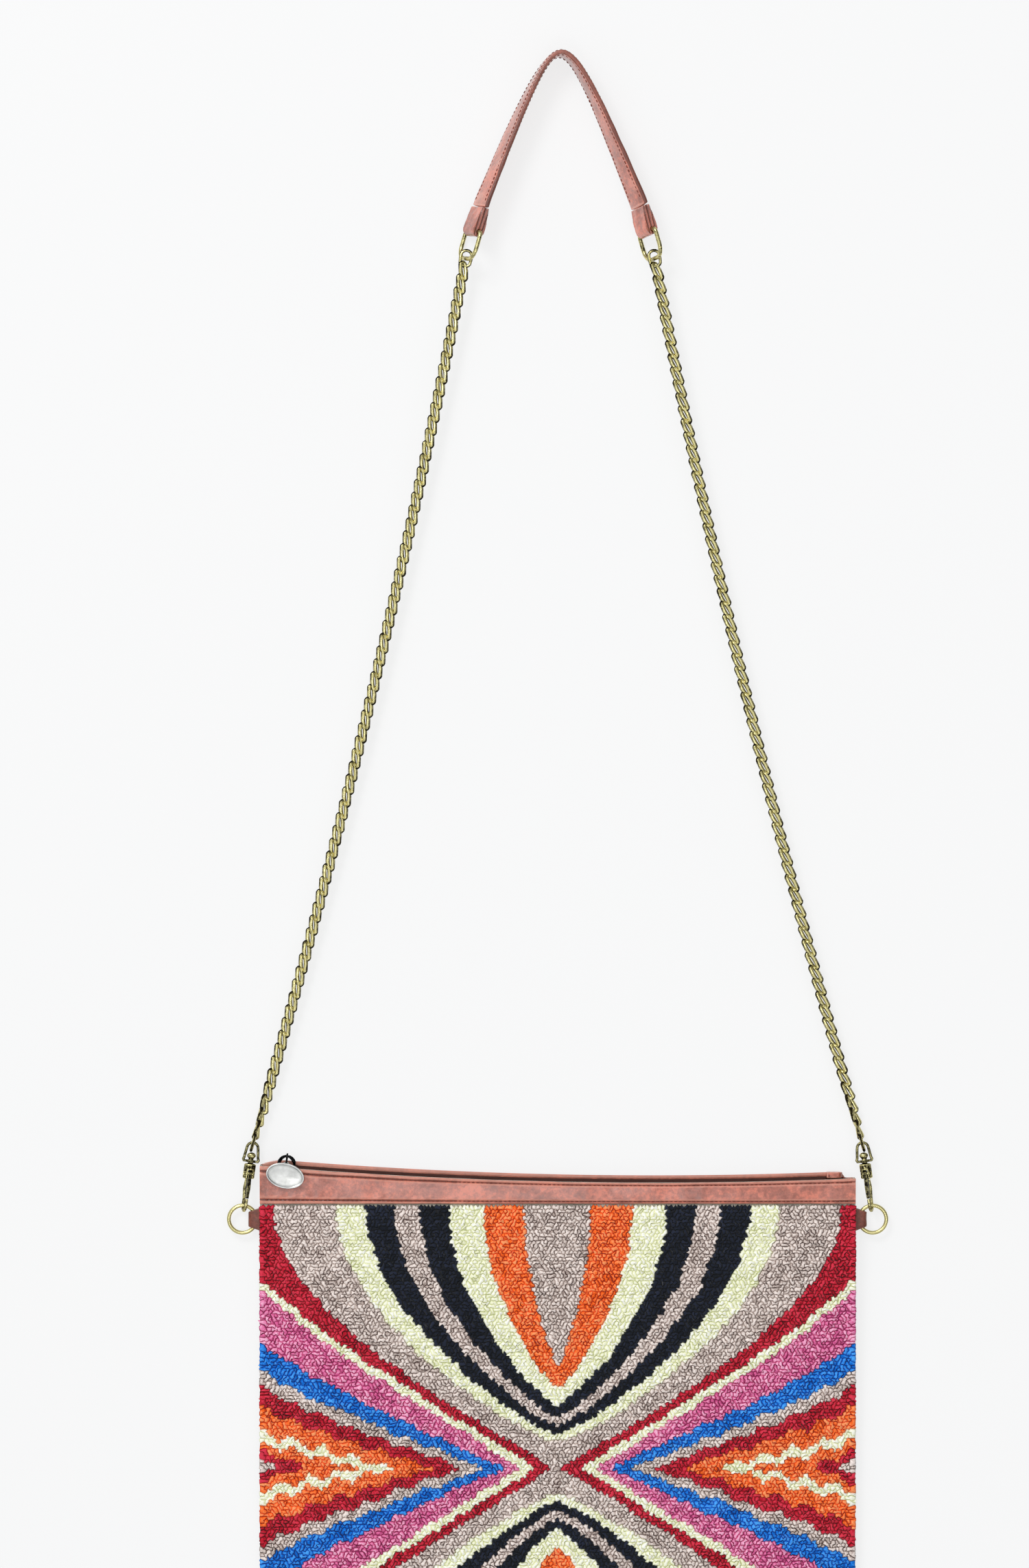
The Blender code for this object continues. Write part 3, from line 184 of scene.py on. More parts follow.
def add_node(tree, kind, inputs=None, **settings):
    """Add a shader node with its settings, and set or link its inputs."""
    node = tree.nodes.new("ShaderNode" + kind)
    for name, value in settings.items():
        setattr(node, name, value)
    feed(tree, node, inputs or {})
    return node


def start_material(name, sockets):
    """New material's node tree and its shader, with the even values set on the shader's own sockets."""
    material = bpy.data.materials.new(name)
    material.use_nodes = True
    tree = material.node_tree
    shader = tree.nodes["Principled BSDF"]
    feed(tree, shader, sockets)
    return tree, shader


def tone(colour, *factors):
    """Colour made lighter or darker by one factor, or by one for each channel, with full alpha."""
    return (*[min(1.0, max(0.0, channel * factor)) for channel, factor in zip(colour, factors * 3)], 1.0)


def looped_yarn(name, colour, dark, light, mottle, ply_size, middle):
    """Matt acrylic yarn stitched in short loops: painted shade in crevices, painted highlight on crowns, soft
    fibres.
    """
    tree, shader = start_material(name, {"Roughness": 0.95, "Specular IOR Level": 0.2, "Sheen Weight": 0.12,
                                         "Sheen Roughness": 0.5})
    at = add_node(tree, "TexCoord").outputs["Object"]
    crown = add_node(tree, "Attribute", attribute_name="crown").outputs["Fac"]
    tint = add_node(tree, "Attribute", attribute_name="tint").outputs["Fac"]
    # plies and fibres, really 0.4 mm across, drawn at 1.2 to 2 mm, as coarse as they need to show
    ply = add_node(tree, "TexNoise", {"Vector": at, "Scale": 1 / ply_size, "Detail": 3.0, "Roughness": 0.65,
                                      "Distortion": 0.6}).outputs["Fac"]
    # slow changes of the yarn's tension and dye over a few centimetres
    drift = add_node(tree, "TexNoise", {"Vector": at, "Scale": 1 / (16 * MM), "Detail": 2.0}).outputs["Fac"]
    level = -0.33 - mottle / 2
    # crown adds painted shade in the crevices and painted highlight on the crowns; drift, tint and ply are
    # the yarn's own tone
    for source, share in ((drift, 0.5), (tint, 0.45), (ply, mottle), (crown, 0.8)):
        level = add_node(tree, "Math", {0: source, 1: share, 2: level}, operation="MULTIPLY_ADD")
    low = add_node(tree, "MapRange", {"Value": level, "From Min": middle - 0.48, "From Max": middle})
    high = add_node(tree, "MapRange", {"Value": level, "From Min": middle, "From Max": middle + 0.5})
    body = add_node(tree, "Mix", {0: low, 6: tone(dark, 1), 7: tone(colour, 1)}, data_type="RGBA")
    full = add_node(tree, "Mix", {0: high, 6: body.outputs[2], 7: tone(light, 1)}, data_type="RGBA")
    bump = add_node(tree, "Bump", {"Height": ply, "Distance": 0.35 * MM, "Strength": 0.9})
    feed(tree, shader, {"Base Color": full.outputs[2], "Normal": bump})


def tanned_leather(name, colour, roughness, coat):
    """Waxed full-grain leather: fine pebbled grain, soft mottling, a low gloss that breaks over the grain."""
    tree, shader = start_material(name, {"Roughness": roughness, "Specular IOR Level": 0.35,
                                         "Coat Weight": coat, "Coat Roughness": 0.2})
    at = add_node(tree, "TexCoord").outputs["Object"]
    cloud = add_node(tree, "TexNoise", {"Vector": at, "Scale": 1 / (14 * MM), "Detail": 5.0,
                                        "Roughness": 0.6})
    rub = add_node(tree, "TexNoise", {"Vector": at, "Scale": 1 / (2.4 * MM), "Detail": 4.0,
                                      "Roughness": 0.7}).outputs["Fac"]
    # pebbles of the grain, 0.8 mm across
    grain = add_node(tree, "TexVoronoi", {"Vector": at, "Scale": 1 / (0.8 * MM)}, feature="SMOOTH_F1")
    mottle = add_node(tree, "Math", {0: cloud.outputs["Fac"], 1: rub}, operation="ADD")
    plain = add_node(tree, "MapRange", {"Value": mottle, "From Min": 0.76, "From Max": 1.0})
    rubbed = add_node(tree, "MapRange", {"Value": mottle, "From Min": 1.0, "From Max": 1.18})
    fold = add_node(tree, "Attribute", attribute_name="hollow").outputs["Fac"]
    # painted highlight on the ridges, which makes the leather paler there, and painted shade in the creases
    ridge = add_node(tree, "MapRange", {"Value": fold, "From Min": 0.42, "From Max": 0.15, "To Max": 0.55})
    crease = add_node(tree, "MapRange", {"Value": fold, "From Min": 0.55, "From Max": 1.0, "To Max": 0.9})
    skin = tone(colour, 0.6)
    for share, lift in ((plain, (1.0,)), (rubbed, (1.5, 1.45, 1.4)), (ridge, (1.7, 2.6, 2.9)),
                        (crease, (0.25,))):
        skin = add_node(tree, "Mix", {0: share, 6: skin, 7: tone(colour, *lift)}, data_type="RGBA").outputs[2]
    gloss = add_node(tree, "MapRange", {"Value": rub, "From Min": 0.3, "From Max": 0.7,
                                        "To Min": roughness - 0.08, "To Max": roughness + 0.1})
    pebbles = add_node(tree, "Bump", {"Height": grain.outputs["Distance"], "Distance": 0.1 * MM,
                                      "Strength": 0.5})
    creases = add_node(tree, "Bump", {"Height": rub, "Distance": 0.35 * MM, "Strength": 0.6,
                                      "Normal": pebbles})
    feed(tree, shader, {"Base Color": skin, "Roughness": gloss, "Normal": creases})


def woven_cloth(name, colour, thread):
    """Plain-woven cotton: threads over and under each other, a little uneven."""
    tree, shader = start_material(name, {"Roughness": 0.9, "Specular IOR Level": 0.25, "Sheen Weight": 0.1,
                                         "Sheen Roughness": 0.5})
    at = add_node(tree, "TexCoord").outputs["Object"]
    # one band for each thread, which is drawn as coarse as it needs to show
    warp, weft = [add_node(tree, "TexWave", {"Vector": at, "Scale": WAVE / thread, "Distortion": 0.5,
                                             "Detail": 1.0}, bands_direction=axis) for axis in "XY"]
    both = add_node(tree, "Math", {0: warp.outputs["Fac"], 1: weft.outputs["Fac"]}, operation="MULTIPLY")
    slub = add_node(tree, "TexNoise", {"Vector": at, "Scale": 1 / (6 * MM), "Detail": 6.0, "Roughness": 0.7})
    level = add_node(tree, "Math", {0: both, 1: 0.6, 2: slub.outputs["Fac"]}, operation="MULTIPLY_ADD")
    spread = add_node(tree, "MapRange", {"Value": level, "From Min": 0.35, "From Max": 1.0})
    weave = add_node(tree, "Mix", {0: spread, 6: tone(colour, 0.6), 7: tone(colour, 1.25)}, data_type="RGBA")
    bump = add_node(tree, "Bump", {"Height": both, "Distance": 0.15 * MM, "Strength": 0.7})
    feed(tree, shader, {"Base Color": weave.outputs[2], "Normal": bump})


def antique_plate(name, colour, dark, roughness):
    """Antiqued plating on cast or drawn metal: rubbed bright on the crowns, dark with patina in the hollows;
    on the chain links the same values are painted highlight on top and painted shade on the flanks.
    """
    tree, shader = start_material(name, {"Metallic": 1.0, "Roughness": roughness})
    at = add_node(tree, "TexCoord").outputs["Object"]
    hollow = add_node(tree, "Attribute", attribute_name="hollow").outputs["Fac"]
    patina = add_node(tree, "TexNoise", {"Vector": at, "Scale": 1 / (1.8 * MM), "Detail": 5.0,
                                         "Roughness": 0.7})
    pits = add_node(tree, "TexNoise", {"Vector": at, "Scale": 1 / (0.4 * MM), "Detail": 2.0})
    level = add_node(tree, "Math", {0: patina.outputs["Fac"], 1: 1.4, 2: hollow}, operation="MULTIPLY_ADD")
    bare = add_node(tree, "MapRange", {"Value": level, "From Min": 0.85, "From Max": 1.2})
    skin = add_node(tree, "Mix", {0: bare, 6: tone(colour, 1.15), 7: tone(dark, 1)}, data_type="RGBA")
    gloss = add_node(tree, "MapRange", {"Value": level, "From Min": 0.75, "From Max": 1.4,
                                        "To Min": roughness - 0.08, "To Max": roughness + 0.2})
    bump = add_node(tree, "Bump", {"Height": pits.outputs["Fac"], "Distance": 0.06 * MM, "Strength": 0.5})
    feed(tree, shader, {"Base Color": skin.outputs[2], "Roughness": gloss, "Normal": bump})


def satin_nickel(name, colour):
    """Tumbled nickel plate: soft bright metal with fine scratches one way, painted shade in its groove."""
    tree, shader = start_material(name, {"Metallic": 1.0, "Roughness": 0.33})
    at = add_node(tree, "TexCoord").outputs["Object"]
    lay = add_node(tree, "Mapping", {"Vector": at, "Scale": (1, 9, 1)})
    scratch = add_node(tree, "TexNoise", {"Vector": lay, "Scale": 1 / (1.5 * MM), "Detail": 6.0,
                                          "Roughness": 0.75}).outputs["Fac"]
    handled = add_node(tree, "TexNoise", {"Vector": at, "Scale": 1 / (5 * MM), "Detail": 3.0})
    shade = add_node(tree, "MapRange", {"Value": handled.outputs["Fac"], "From Min": 0.35, "From Max": 0.65})
    skin = add_node(tree, "Mix", {0: shade, 6: tone(colour, 0.82), 7: tone(colour, 1.1)}, data_type="RGBA")
    # painted shade in the disc's groove, darker where the hollow values are high
    groove = add_node(tree, "Attribute", attribute_name="hollow")
    groove_shade = add_node(tree, "MapRange", {"Value": groove.outputs["Fac"], "From Min": 0.55, "From Max": 0.9,
                                        "To Max": 0.75})
    groove_shaded = add_node(tree, "Mix", {0: groove_shade, 6: skin.outputs[2], 7: tone(colour, 0.12)}, data_type="RGBA")
    gloss = add_node(tree, "MapRange", {"Value": scratch, "From Min": 0.3, "From Max": 0.7, "To Min": 0.26,
                                        "To Max": 0.4})
    bump = add_node(tree, "Bump", {"Height": scratch, "Distance": 0.05 * MM, "Strength": 0.35})
    feed(tree, shader, {"Base Color": groove_shaded.outputs[2], "Roughness": gloss, "Normal": bump})


def sewing_thread(name, colour):
    """Twisted polyester thread: two plies that catch the light in turn."""
    tree, shader = start_material(name, {"Roughness": 0.6, "Specular IOR Level": 0.4})
    at = add_node(tree, "TexCoord").outputs["Object"]
    # a turn of the plies every 0.5 mm
    twist = add_node(tree, "TexWave", {"Vector": at, "Scale": WAVE / (0.5 * MM), "Distortion": 1.0},
                     bands_direction="DIAGONAL").outputs["Fac"]
    skin = add_node(tree, "Mix", {0: twist, 6: tone(colour, 0.6), 7: tone(colour, 1.2)}, data_type="RGBA")
    bump = add_node(tree, "Bump", {"Height": twist, "Distance": 0.08 * MM})
    feed(tree, shader, {"Base Color": skin.outputs[2], "Normal": bump})


def finishes():
    """Every finish of the bag by name, made once."""
    colours = bpy.context.scene.clutch_colours
    if "brown_thread" in bpy.data.materials:
        return bpy.data.materials
    # dark and light colours of the yarn, which give its flecks and also the painted shade in the crevices and
    # painted highlight on the crowns, strength of the flecks, size of the plies in mm, and the level at which
    # the yarn has its plain colour
    yarns = (("taupe", "#5C453F", "#F8EAE2", 2.0, 1.2, 0.5), ("cream", "#CDD19C", "#FFFFF4", 1.1, 2.0, 0.5),
             ("black", "#070A10", "#242A3C", 0.8, 1.3, 0.6), ("orange", "#A82C02", "#FFA066", 1.9, 1.8, 0.55),
             ("red", "#5A0410", "#E0384F", 1.9, 1.8, 0.58), ("pink", "#922458", "#FCB8D6", 1.7, 1.5, 0.6),
             ("blue", "#003884", "#4CA8FA", 1.6, 1.5, 0.6))
    for yarn, dark, light, mottle, ply, middle in yarns:
        looped_yarn(f"loop_yarn_{yarn}", getattr(colours, yarn), linear(dark), linear(light), mottle,
                    ply * MM, middle)
    tanned_leather("band_leather", colours.leather, 0.42, 0.5)
    tanned_leather("pad_leather", tone(colours.leather, 1.06)[:3], 0.38, 0.8)
    tanned_leather("tab_leather", tone(colours.leather, 0.44)[:3], 0.42, 0.1)
    woven_cloth("black_cotton_weave", linear("#2B2B2E"), 0.7 * MM)
    woven_cloth("raw_cotton_canvas", linear("#C9C1B2"), 0.9 * MM)
    woven_cloth("beige_cotton_lining", linear("#B0A48F"), 0.6 * MM)
    woven_cloth("brown_tape_weave", linear("#5A3A33"), 0.5 * MM)
    antique_plate("rubbed_brass_plate", colours.brass, linear("#231D10"), 0.3)
    # a darker copy of the brass: painted shade on the gates and swivel eyes
    antique_plate("dark_brass_plate", tone(colours.brass, 0.55), linear("#1C1914"), 0.34)
    antique_plate("olive_brass_plate", tone(colours.brass, 0.9), linear("#5C6048"), 0.4)
    antique_plate("black_enamel", linear("#1A1A1C"), linear("#060607"), 0.35)
    antique_plate("bright_spring_plate", linear("#B8B8B4"), linear("#6A6A66"), 0.3)
    satin_nickel("satin_nickel", colours.nickel)
    for thread, code in (("brown_thread", "#7C4034"), ("black_thread", "#202024"), ("coil_nylon", "#4A2C26")):
        sewing_thread(thread, linear(code))
    return bpy.data.materials


# Workshop tools

def pick(*objects):
    """Select these objects alone, the first one active."""
    bpy.ops.object.select_all(action="DESELECT")
    for obj in objects:
        obj.select_set(True)
    bpy.context.view_layer.objects.active = objects[0]


def apply_modifier(obj, kind, **settings):
    """Add one modifier to a piece and apply it."""
    pick(obj)
    modifier = obj.modifiers.new(kind.lower(), kind)
    for name, value in settings.items():
        setattr(modifier, name, value)
    bpy.ops.object.modifier_apply(modifier=modifier.name)


def close_skin(obj):
    """Merge a mesh's doubles and turn its faces outward."""
    pick(obj)
    bpy.ops.object.mode_set(mode="EDIT")
    bpy.ops.mesh.select_all(action="SELECT")
    bpy.ops.mesh.remove_doubles(threshold=0.002 * MM)
    bpy.ops.mesh.normals_make_consistent(inside=False)
    bpy.ops.object.mode_set(mode="OBJECT")


def select_faces(obj, wanted):
    """In edit mode's face selection, leave only the faces that a test picks."""
    bpy.ops.object.mode_set(mode="OBJECT")
    mesh = obj.data
    mesh.vertices.foreach_set("select", [False] * len(mesh.vertices))
    mesh.edges.foreach_set("select", [False] * len(mesh.edges))
    mesh.polygons.foreach_set("select", [bool(wanted(face)) for face in mesh.polygons])
    bpy.ops.object.mode_set(mode="EDIT")


def copy_of_node(node):
    """Copy of a frame node's mesh as a new piece with one merged skin."""
    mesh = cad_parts[node].data.copy()
    mesh.materials.clear()
    obj = bpy.data.objects.new("copy", mesh)
    bpy.context.scene.collection.objects.link(obj)
    close_skin(obj)
    return obj


def soften(obj, width, segments, angle=30):
    """Round the edges that turn by more than an angle."""
    apply_modifier(obj, "BEVEL", width=width, segments=segments, limit_method="ANGLE",
                   angle_limit=math.radians(angle))


def cast_copy(node, voxel, rounds):
    """Copy of a frame node as a casting: corners and facets rounded off."""
    obj = copy_of_node(node)
    apply_modifier(obj, "REMESH", mode="VOXEL", voxel_size=voxel, use_smooth_shade=True)
    apply_modifier(obj, "SMOOTH", factor=0.5, iterations=rounds)
    return obj


def mark_hollows(obj, rounds, depth):
    """Store at each vertex how hollow the surface is there, from 0 on a crown to 1 in a hollow."""
    flat = [(vert.co.copy(), vert.normal.copy()) for vert in obj.data.vertices]
    modifier = obj.modifiers.new("even", "SMOOTH")
    modifier.factor = 0.5
    modifier.iterations = rounds
    graph = bpy.context.evaluated_depsgraph_get()
    even = obj.evaluated_get(graph).to_mesh()
    values = [0.5 + (vert.co - place).dot(normal) / (2 * depth)
              for vert, (place, normal) in zip(even.vertices, flat)]
    obj.modifiers.remove(modifier)
    layer = obj.data.attributes.new("hollow", "FLOAT", "POINT")
    layer.data.foreach_set("value", [min(1.0, max(0.0, value)) for value in values])


def darken(obj, values):
    """Raise the hollows' values to these, vertex by vertex."""
    layer = obj.data.attributes["hollow"].data
    for spot, value in zip(layer, values):
        spot.value = max(spot.value, value)


def crumple(obj, size, amount, seed):
    """Push the surface in and out a little, as handling does to soft leather."""
    shift = Vector((seed * 13.7, seed * 5.1, 0))
    moved = [vert.co + vert.normal * amount * noise.noise(vert.co / size + shift)
             for vert in obj.data.vertices]
    for vert, place in zip(obj.data.vertices, moved):
        vert.co = place


def swell(obj, amount):
    """Move the whole skin outward."""
    for vert in obj.data.vertices:
        vert.co += vert.normal * amount


def shaped_sheet(columns, rows, spot):
    """Grid with each point placed by its share across and along."""
    bpy.ops.object.select_all(action="DESELECT")
    bpy.ops.mesh.primitive_grid_add(x_subdivisions=columns, y_subdivisions=rows, size=1)
    obj = bpy.context.active_object
    for vert in obj.data.vertices:
        vert.co = spot(vert.co.x + 0.5, vert.co.y + 0.5)
    return obj


def repeat(model, places):
    """Copy a model to each place, each copy with its own mesh, and join the copies; the model goes."""
    copies = []
    for place in places:
        obj = model.copy()
        obj.data = model.data.copy()
        obj.data.transform(place)
        bpy.context.scene.collection.objects.link(obj)
        copies.append(obj)
    bpy.data.objects.remove(model)
    pick(*copies)
    bpy.ops.object.join()
    return bpy.context.active_object


def finish_piece(obj, name, body, material, node=None, angle=40):
    """Give a piece its name, smooth shading and finish, and tie it to the frame."""
    obj.name = name
    obj.data.name = name
    pick(obj)
    bpy.ops.object.transform_apply(location=True, rotation=True, scale=True)
    bpy.ops.object.shade_smooth_by_angle(angle=math.radians(angle))
    obj.data.materials.clear()
    obj.data.materials.append(finishes()[material])
    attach(obj, body)
    if node:
        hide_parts(node)


def stand_in(obj, node, ending, body, material, angle=40):
    """Finish a piece that stands for a frame node and takes its name, with an ending."""
    finish_piece(obj, f"{node}_{ending}", body, material, node, angle)


def upright(place, along, up):
    """Matrix that lays X along one direction and Z near another, at a place."""
    along = along.normalized()
    side = up.cross(along).normalized()
    return Matrix.Translation(place) @ Matrix((along, side, along.cross(side))).transposed().to_4x4()


def stitch_row(name, points, ups, body, thread):
    """Row of sewn stitches along a line of points, each thick in its middle and drawn in at its ends."""
    sizes = bpy.context.scene.clutch_sizes
    bpy.ops.object.select_all(action="DESELECT")
    bpy.ops.mesh.primitive_uv_sphere_add(segments=6, ring_count=4, radius=0.5)
    model = bpy.context.active_object
    model.data.transform(Matrix.Diagonal((sizes.stitch_length, sizes.stitch_width, sizes.stitch_width, 1)))
    run = 0.0
    wanted = sizes.stitch_pitch / 2
    places = []
    for (start, end), up in zip(zip(points, points[1:]), ups):
        step = (end - start).length
        while wanted <= run + step:
            place = start.lerp(end, (wanted - run) / step)
            places.append(upright(place, end - start, up))
            wanted += sizes.stitch_pitch
        run += step
    finish_piece(repeat(model, places), name, body, thread, angle=80)


# The bag's own lines

def mouth_line(x, rise=0.0):
    """Y of the mouth's shallow arc, raised by the given amount."""
    return MOUTH_CENTRE_Y - math.sqrt((MOUTH_RADIUS - rise) ** 2 - (x - MOUTH_CENTRE_X) ** 2)


def canvas_top(x, y):
    """Height of the front canvas: thin at the seams, fuller in the belly and at the zip."""
    mouth = max(0.0, (y - BAG_LOW) / (280.1 * MM)) ** 3
    across = 1 - min(1.0, abs(x) / (HALF_WIDTH - 1 * MM)) ** 4
    along = 1 - min(1.0, abs(y - FIELD_CENTRE) / FIELD_HALF) ** 4
    return SIDE_SEAM + MOUTH_FULLNESS * mouth + BELLY_FULLNESS * across * along + CANVAS


def hook_point(side, height):
    """Point of a hook's long axis at a height above its bow."""
    rise = height - HOOK_BOW
    across = HOOK_HOLD_X - rise * math.sin(HOOK_TILT)
    return Vector((side * across, HOOK_HOLD_Y + rise * math.cos(HOOK_TILT), HOOK_HOLD_Z))


def pad_point(station):
    """Point of the pad's middle line, from -1 at its left end to 1 at its right end."""
    spread = PAD_HALF_SPREAD * math.copysign(abs(station) ** 1.2, station)
    drop = math.sqrt((PAD_STEEPNESS * spread) ** 2 + PAD_BEND ** 2) - PAD_BEND
    # the last tenth turns a little, so that the pad runs straight into its loops
    last = min(1.0, max(0.0, (abs(station) - 0.9) / 0.1))
    turn = math.copysign(1.2 * MM * (last ** 2 - last ** 3), station)
    return Vector((spread + PAD_MIDDLE_X + turn, PAD_TOP_Y - drop, PAD_Z))


def pad_ahead(station):
    """Direction of the pad's middle line at a station."""
    return (pad_point(station + 0.001) - pad_point(station - 0.001)).normalized()


def pad_width_direction(station):
    """Direction of the pad's width at a station, leaning to the right towards both ends."""
    return Matrix.Rotation(-math.radians(PAD_TWIST) * station, 3, pad_ahead(station)) @ Vector((0, 0, 1))


def loop_frame(side):
    """Place of a pad's end loop: X along the strap, Y across it, Z along the pad's width."""
    tilt = math.radians(LOOP_TILT)
    along = Vector((side * math.sin(tilt), -math.cos(tilt), 0))
    width = Matrix.Rotation(-math.radians(PAD_TWIST), 3, along) @ Vector((0, 0, 1))
    turn = Matrix((along, width.cross(along), width)).transposed().to_4x4()
    return Matrix.Translation(pad_point(side) + along * 1.2 * MM) @ turn


# Stage

class CLUTCH_OT_stage(bpy.types.Operator):
    """Set up the pale floor, the soft lamps and the camera that looks straight down"""
    bl_idname = "clutch.stage"
    bl_label = "Stage"

    def execute(self, context):
        scene = context.scene
        sizes = scene.clutch_sizes
        colour = (*scene.clutch_colours.backdrop, 1.0)
        bpy.ops.object.select_all(action="DESELECT")
        bpy.ops.mesh.primitive_plane_add(size=6, location=(0, 0.3, -0.3 * MM))
        floor = context.active_object
        floor.name = "floor"
        bpy.ops.object.transform_apply(location=True)
        tree, shader = start_material("pale_floor", {"Base Color": (0.9, 0.9, 0.9, 1), "Roughness": 0.9,
                                                     "Specular IOR Level": 0.1})
        path = add_node(tree, "LightPath")
        seen = path.outputs["Is Camera Ray"]
        for ray in ("Is Glossy Ray", "Is Transmission Ray"):
            seen = add_node(tree, "Math", {0: seen, 1: path.outputs[ray]}, operation="MAXIMUM")
        share = add_node(tree, "Math", {0: seen, 1: 0.8}, operation="MULTIPLY")
        glow = add_node(tree, "Emission", {"Color": colour, "Strength": 1.0})
        mixed = add_node(tree, "MixShader", {0: share, 1: shader, 2: glow})
        feed(tree, tree.nodes["Material Output"], {"Surface": mixed})
        floor.data.materials.append(bpy.data.materials["pale_floor"])

        world = bpy.data.worlds.new("soft_studio")
        scene.world = world
        world.use_nodes = True
        tree = world.node_tree
        # a lit ceiling that falls off towards the walls, and a dark screen at the right for the metal
        sky = add_node(tree, "TexCoord").outputs["Generated"]
        place = add_node(tree, "SeparateXYZ", {0: sky})
        height = add_node(tree, "MapRange", {"Value": place.outputs["Z"], "To Min": 0.25, "To Max": 1.05})
        screen = add_node(tree, "MapRange", {"Value": place.outputs["X"], "From Min": 0.1, "From Max": 0.8,
                                             "To Min": 1.0, "To Max": 0.25})
        ceiling = add_node(tree, "Math", {0: height, 1: screen}, operation="MULTIPLY")
        light = tree.nodes["Background"]
        feed(tree, light, {"Color": (0.95, 0.975, 1.0, 1), "Strength": ceiling})
        plain = add_node(tree, "Background", {"Color": colour, "Strength": 1.0})
        seen = add_node(tree, "LightPath").outputs["Is Camera Ray"]
        mixed = add_node(tree, "MixShader", {0: seen, 1: light, 2: plain})
        feed(tree, tree.nodes["World Output"], {"Surface": mixed})

        # the small lamp's mirror image lies on the left half of the band, where the leather shines
        lamps = (("key_softbox", (-0.9, 1.7, 1.9), 0.8, 24.0), ("fill_softbox", (1.5, -0.6, 1.8), 1.2, 4.0),
                 ("shine_softbox", (-0.05, -0.23, 1.9), 0.3, 2.5))
        for name, place, size, power in lamps:
            data = bpy.data.lights.new(name, "AREA")
            data.shape = "SQUARE"
            data.size = size
            data.energy = power
            lamp = bpy.data.objects.new(name, data)
            scene.collection.objects.link(lamp)
            lamp.location = place
            aim = Vector((-0.02, 0.3, 0)) - lamp.location
            lamp.rotation_euler = aim.to_track_quat("-Z", "Y").to_euler()

        data = bpy.data.cameras.new("overhead_camera")
        data.sensor_fit = "VERTICAL"
        data.sensor_height = 36
        data.lens = data.sensor_height * (sizes.camera_height - FRONT_Z) / VIEW_HEIGHT
        camera = bpy.data.objects.new("overhead_camera", data)
        scene.collection.objects.link(camera)
        camera.location = (VIEW_X, VIEW_Y, sizes.camera_height)
        scene.camera = camera
        scene.view_settings.view_transform = "Standard"
        return {"FINISHED"}


# Cloth of the bag

class CLUTCH_OT_cloth(bpy.types.Operator):
    """Make the back panel with its sewn edge, the canvas under the yarn and the lining pouch"""
    bl_idname = "clutch.cloth"
    bl_label = "Back, canvas and lining"

    def execute(self, context):
        def back(across, along):
            x = (2 * across - 1) * HALF_WIDTH
            y = BAG_LOW + (BAND_LOW - 0.3 * MM - BAG_LOW) * along
            corner = 4 * MM
            reach = max(0.0, BAG_LOW + corner - y)
            x *= 1 - (corner - math.sqrt(max(0.0, corner ** 2 - reach ** 2))) / HALF_WIDTH
            return (x, y, BACK_TOP)

        panel = shaped_sheet(76, 68, back)
        apply_modifier(panel, "SOLIDIFY", thickness=BACK_TOP, offset=-1)
        soften(panel, 0.4 * MM, 2)
        crumple(panel, 24 * MM, -0.15 * MM, 1)
        for vert in panel.data.vertices:
            vert.co.z = max(0.0, vert.co.z)
        stand_in(panel, "back_panel", "cloth", "bag", "black_cotton_weave")

        inset = 4 * MM
        left, right = -HALF_WIDTH + inset, HALF_WIDTH - inset
        low, high = BAG_LOW + inset, BAND_LOW - 3 * MM
        turns = ((left, high), (left, low), (right, low), (right, high))
        line = [Vector((x, y, 0.15 * MM)) for x, y in turns]
        stitch_row("back_seam_stitches", line, [Vector((0, 0, -1))] * 3, "bag", "black_thread")

        canvas = copy_of_node("front_canvas")
        soften(canvas, 0.35 * MM, 2, 60)
        finish_piece(canvas, "canvas_shell", "bag", "raw_cotton_canvas", "front_canvas")
        pouch = copy_of_node("lining")
        soften(pouch, 0.15 * MM, 1, 60)
        stand_in(pouch, "lining", "pouch", "bag", "beige_cotton_lining")
        return {"FINISHED"}


# Yarn front

# Nested Vs from the middle out: half-width at the field's end, distance of the point from the crossing,
# frame node of the band, its yarn
V_BANDS = (
    (17.0, 53.0, 1, "taupe", "taupe"), (38.0, 40.7, 2, "orange", "orange"), (56.0, 31.2, 3, "cream", "cream"),
    (70.5, 25.9, 4, "black", "black"), (83.5, 21.7, 4, "black", "taupe"), (98.0, 17.5, 4, "black", "black"),
    (113.5, 12.9, 5, "cream", "cream"),
)
# Nested chevrons from the side's middle out: half-height at the side, distance of the tip from the
# middle line, frame node, yarn, depth of the zigzag on the band's outer edge
CHEVRONS = (
    (3.2, 140.0, 6, "cream", "taupe", 0.8), (8.4, 129.0, 6, "cream", "red", 1.6),
    (12.7, 99.1, 6, "cream", "orange", 2.3), (19.0, 82.2, 5, "orange", "cream", 2.5),
    (30.9, 63.3, 5, "orange", "orange", 2.0), (41.1, 48.8, 4, "red", "red", 1.5),
    (49.2, 37.2, 3, "blue", "taupe", 1.1), (63.3, 27.0, 3, "blue", "blue", 0.8),
    (91.4, 19.0, 2, "pink", "pink", 0.6), (97.3, 10.9, 2, "pink", "cream", 0.5),
)

# Heights of the yarn's loops, as shares of the loops' relief
LOOP_HEIGHTS = (0.8, 1.0, 1.2)


def zigzag(place, wave):
    """Triangle wave between -1 and 1."""
    return 4 * abs((place / wave) % 1 - 0.5) - 1


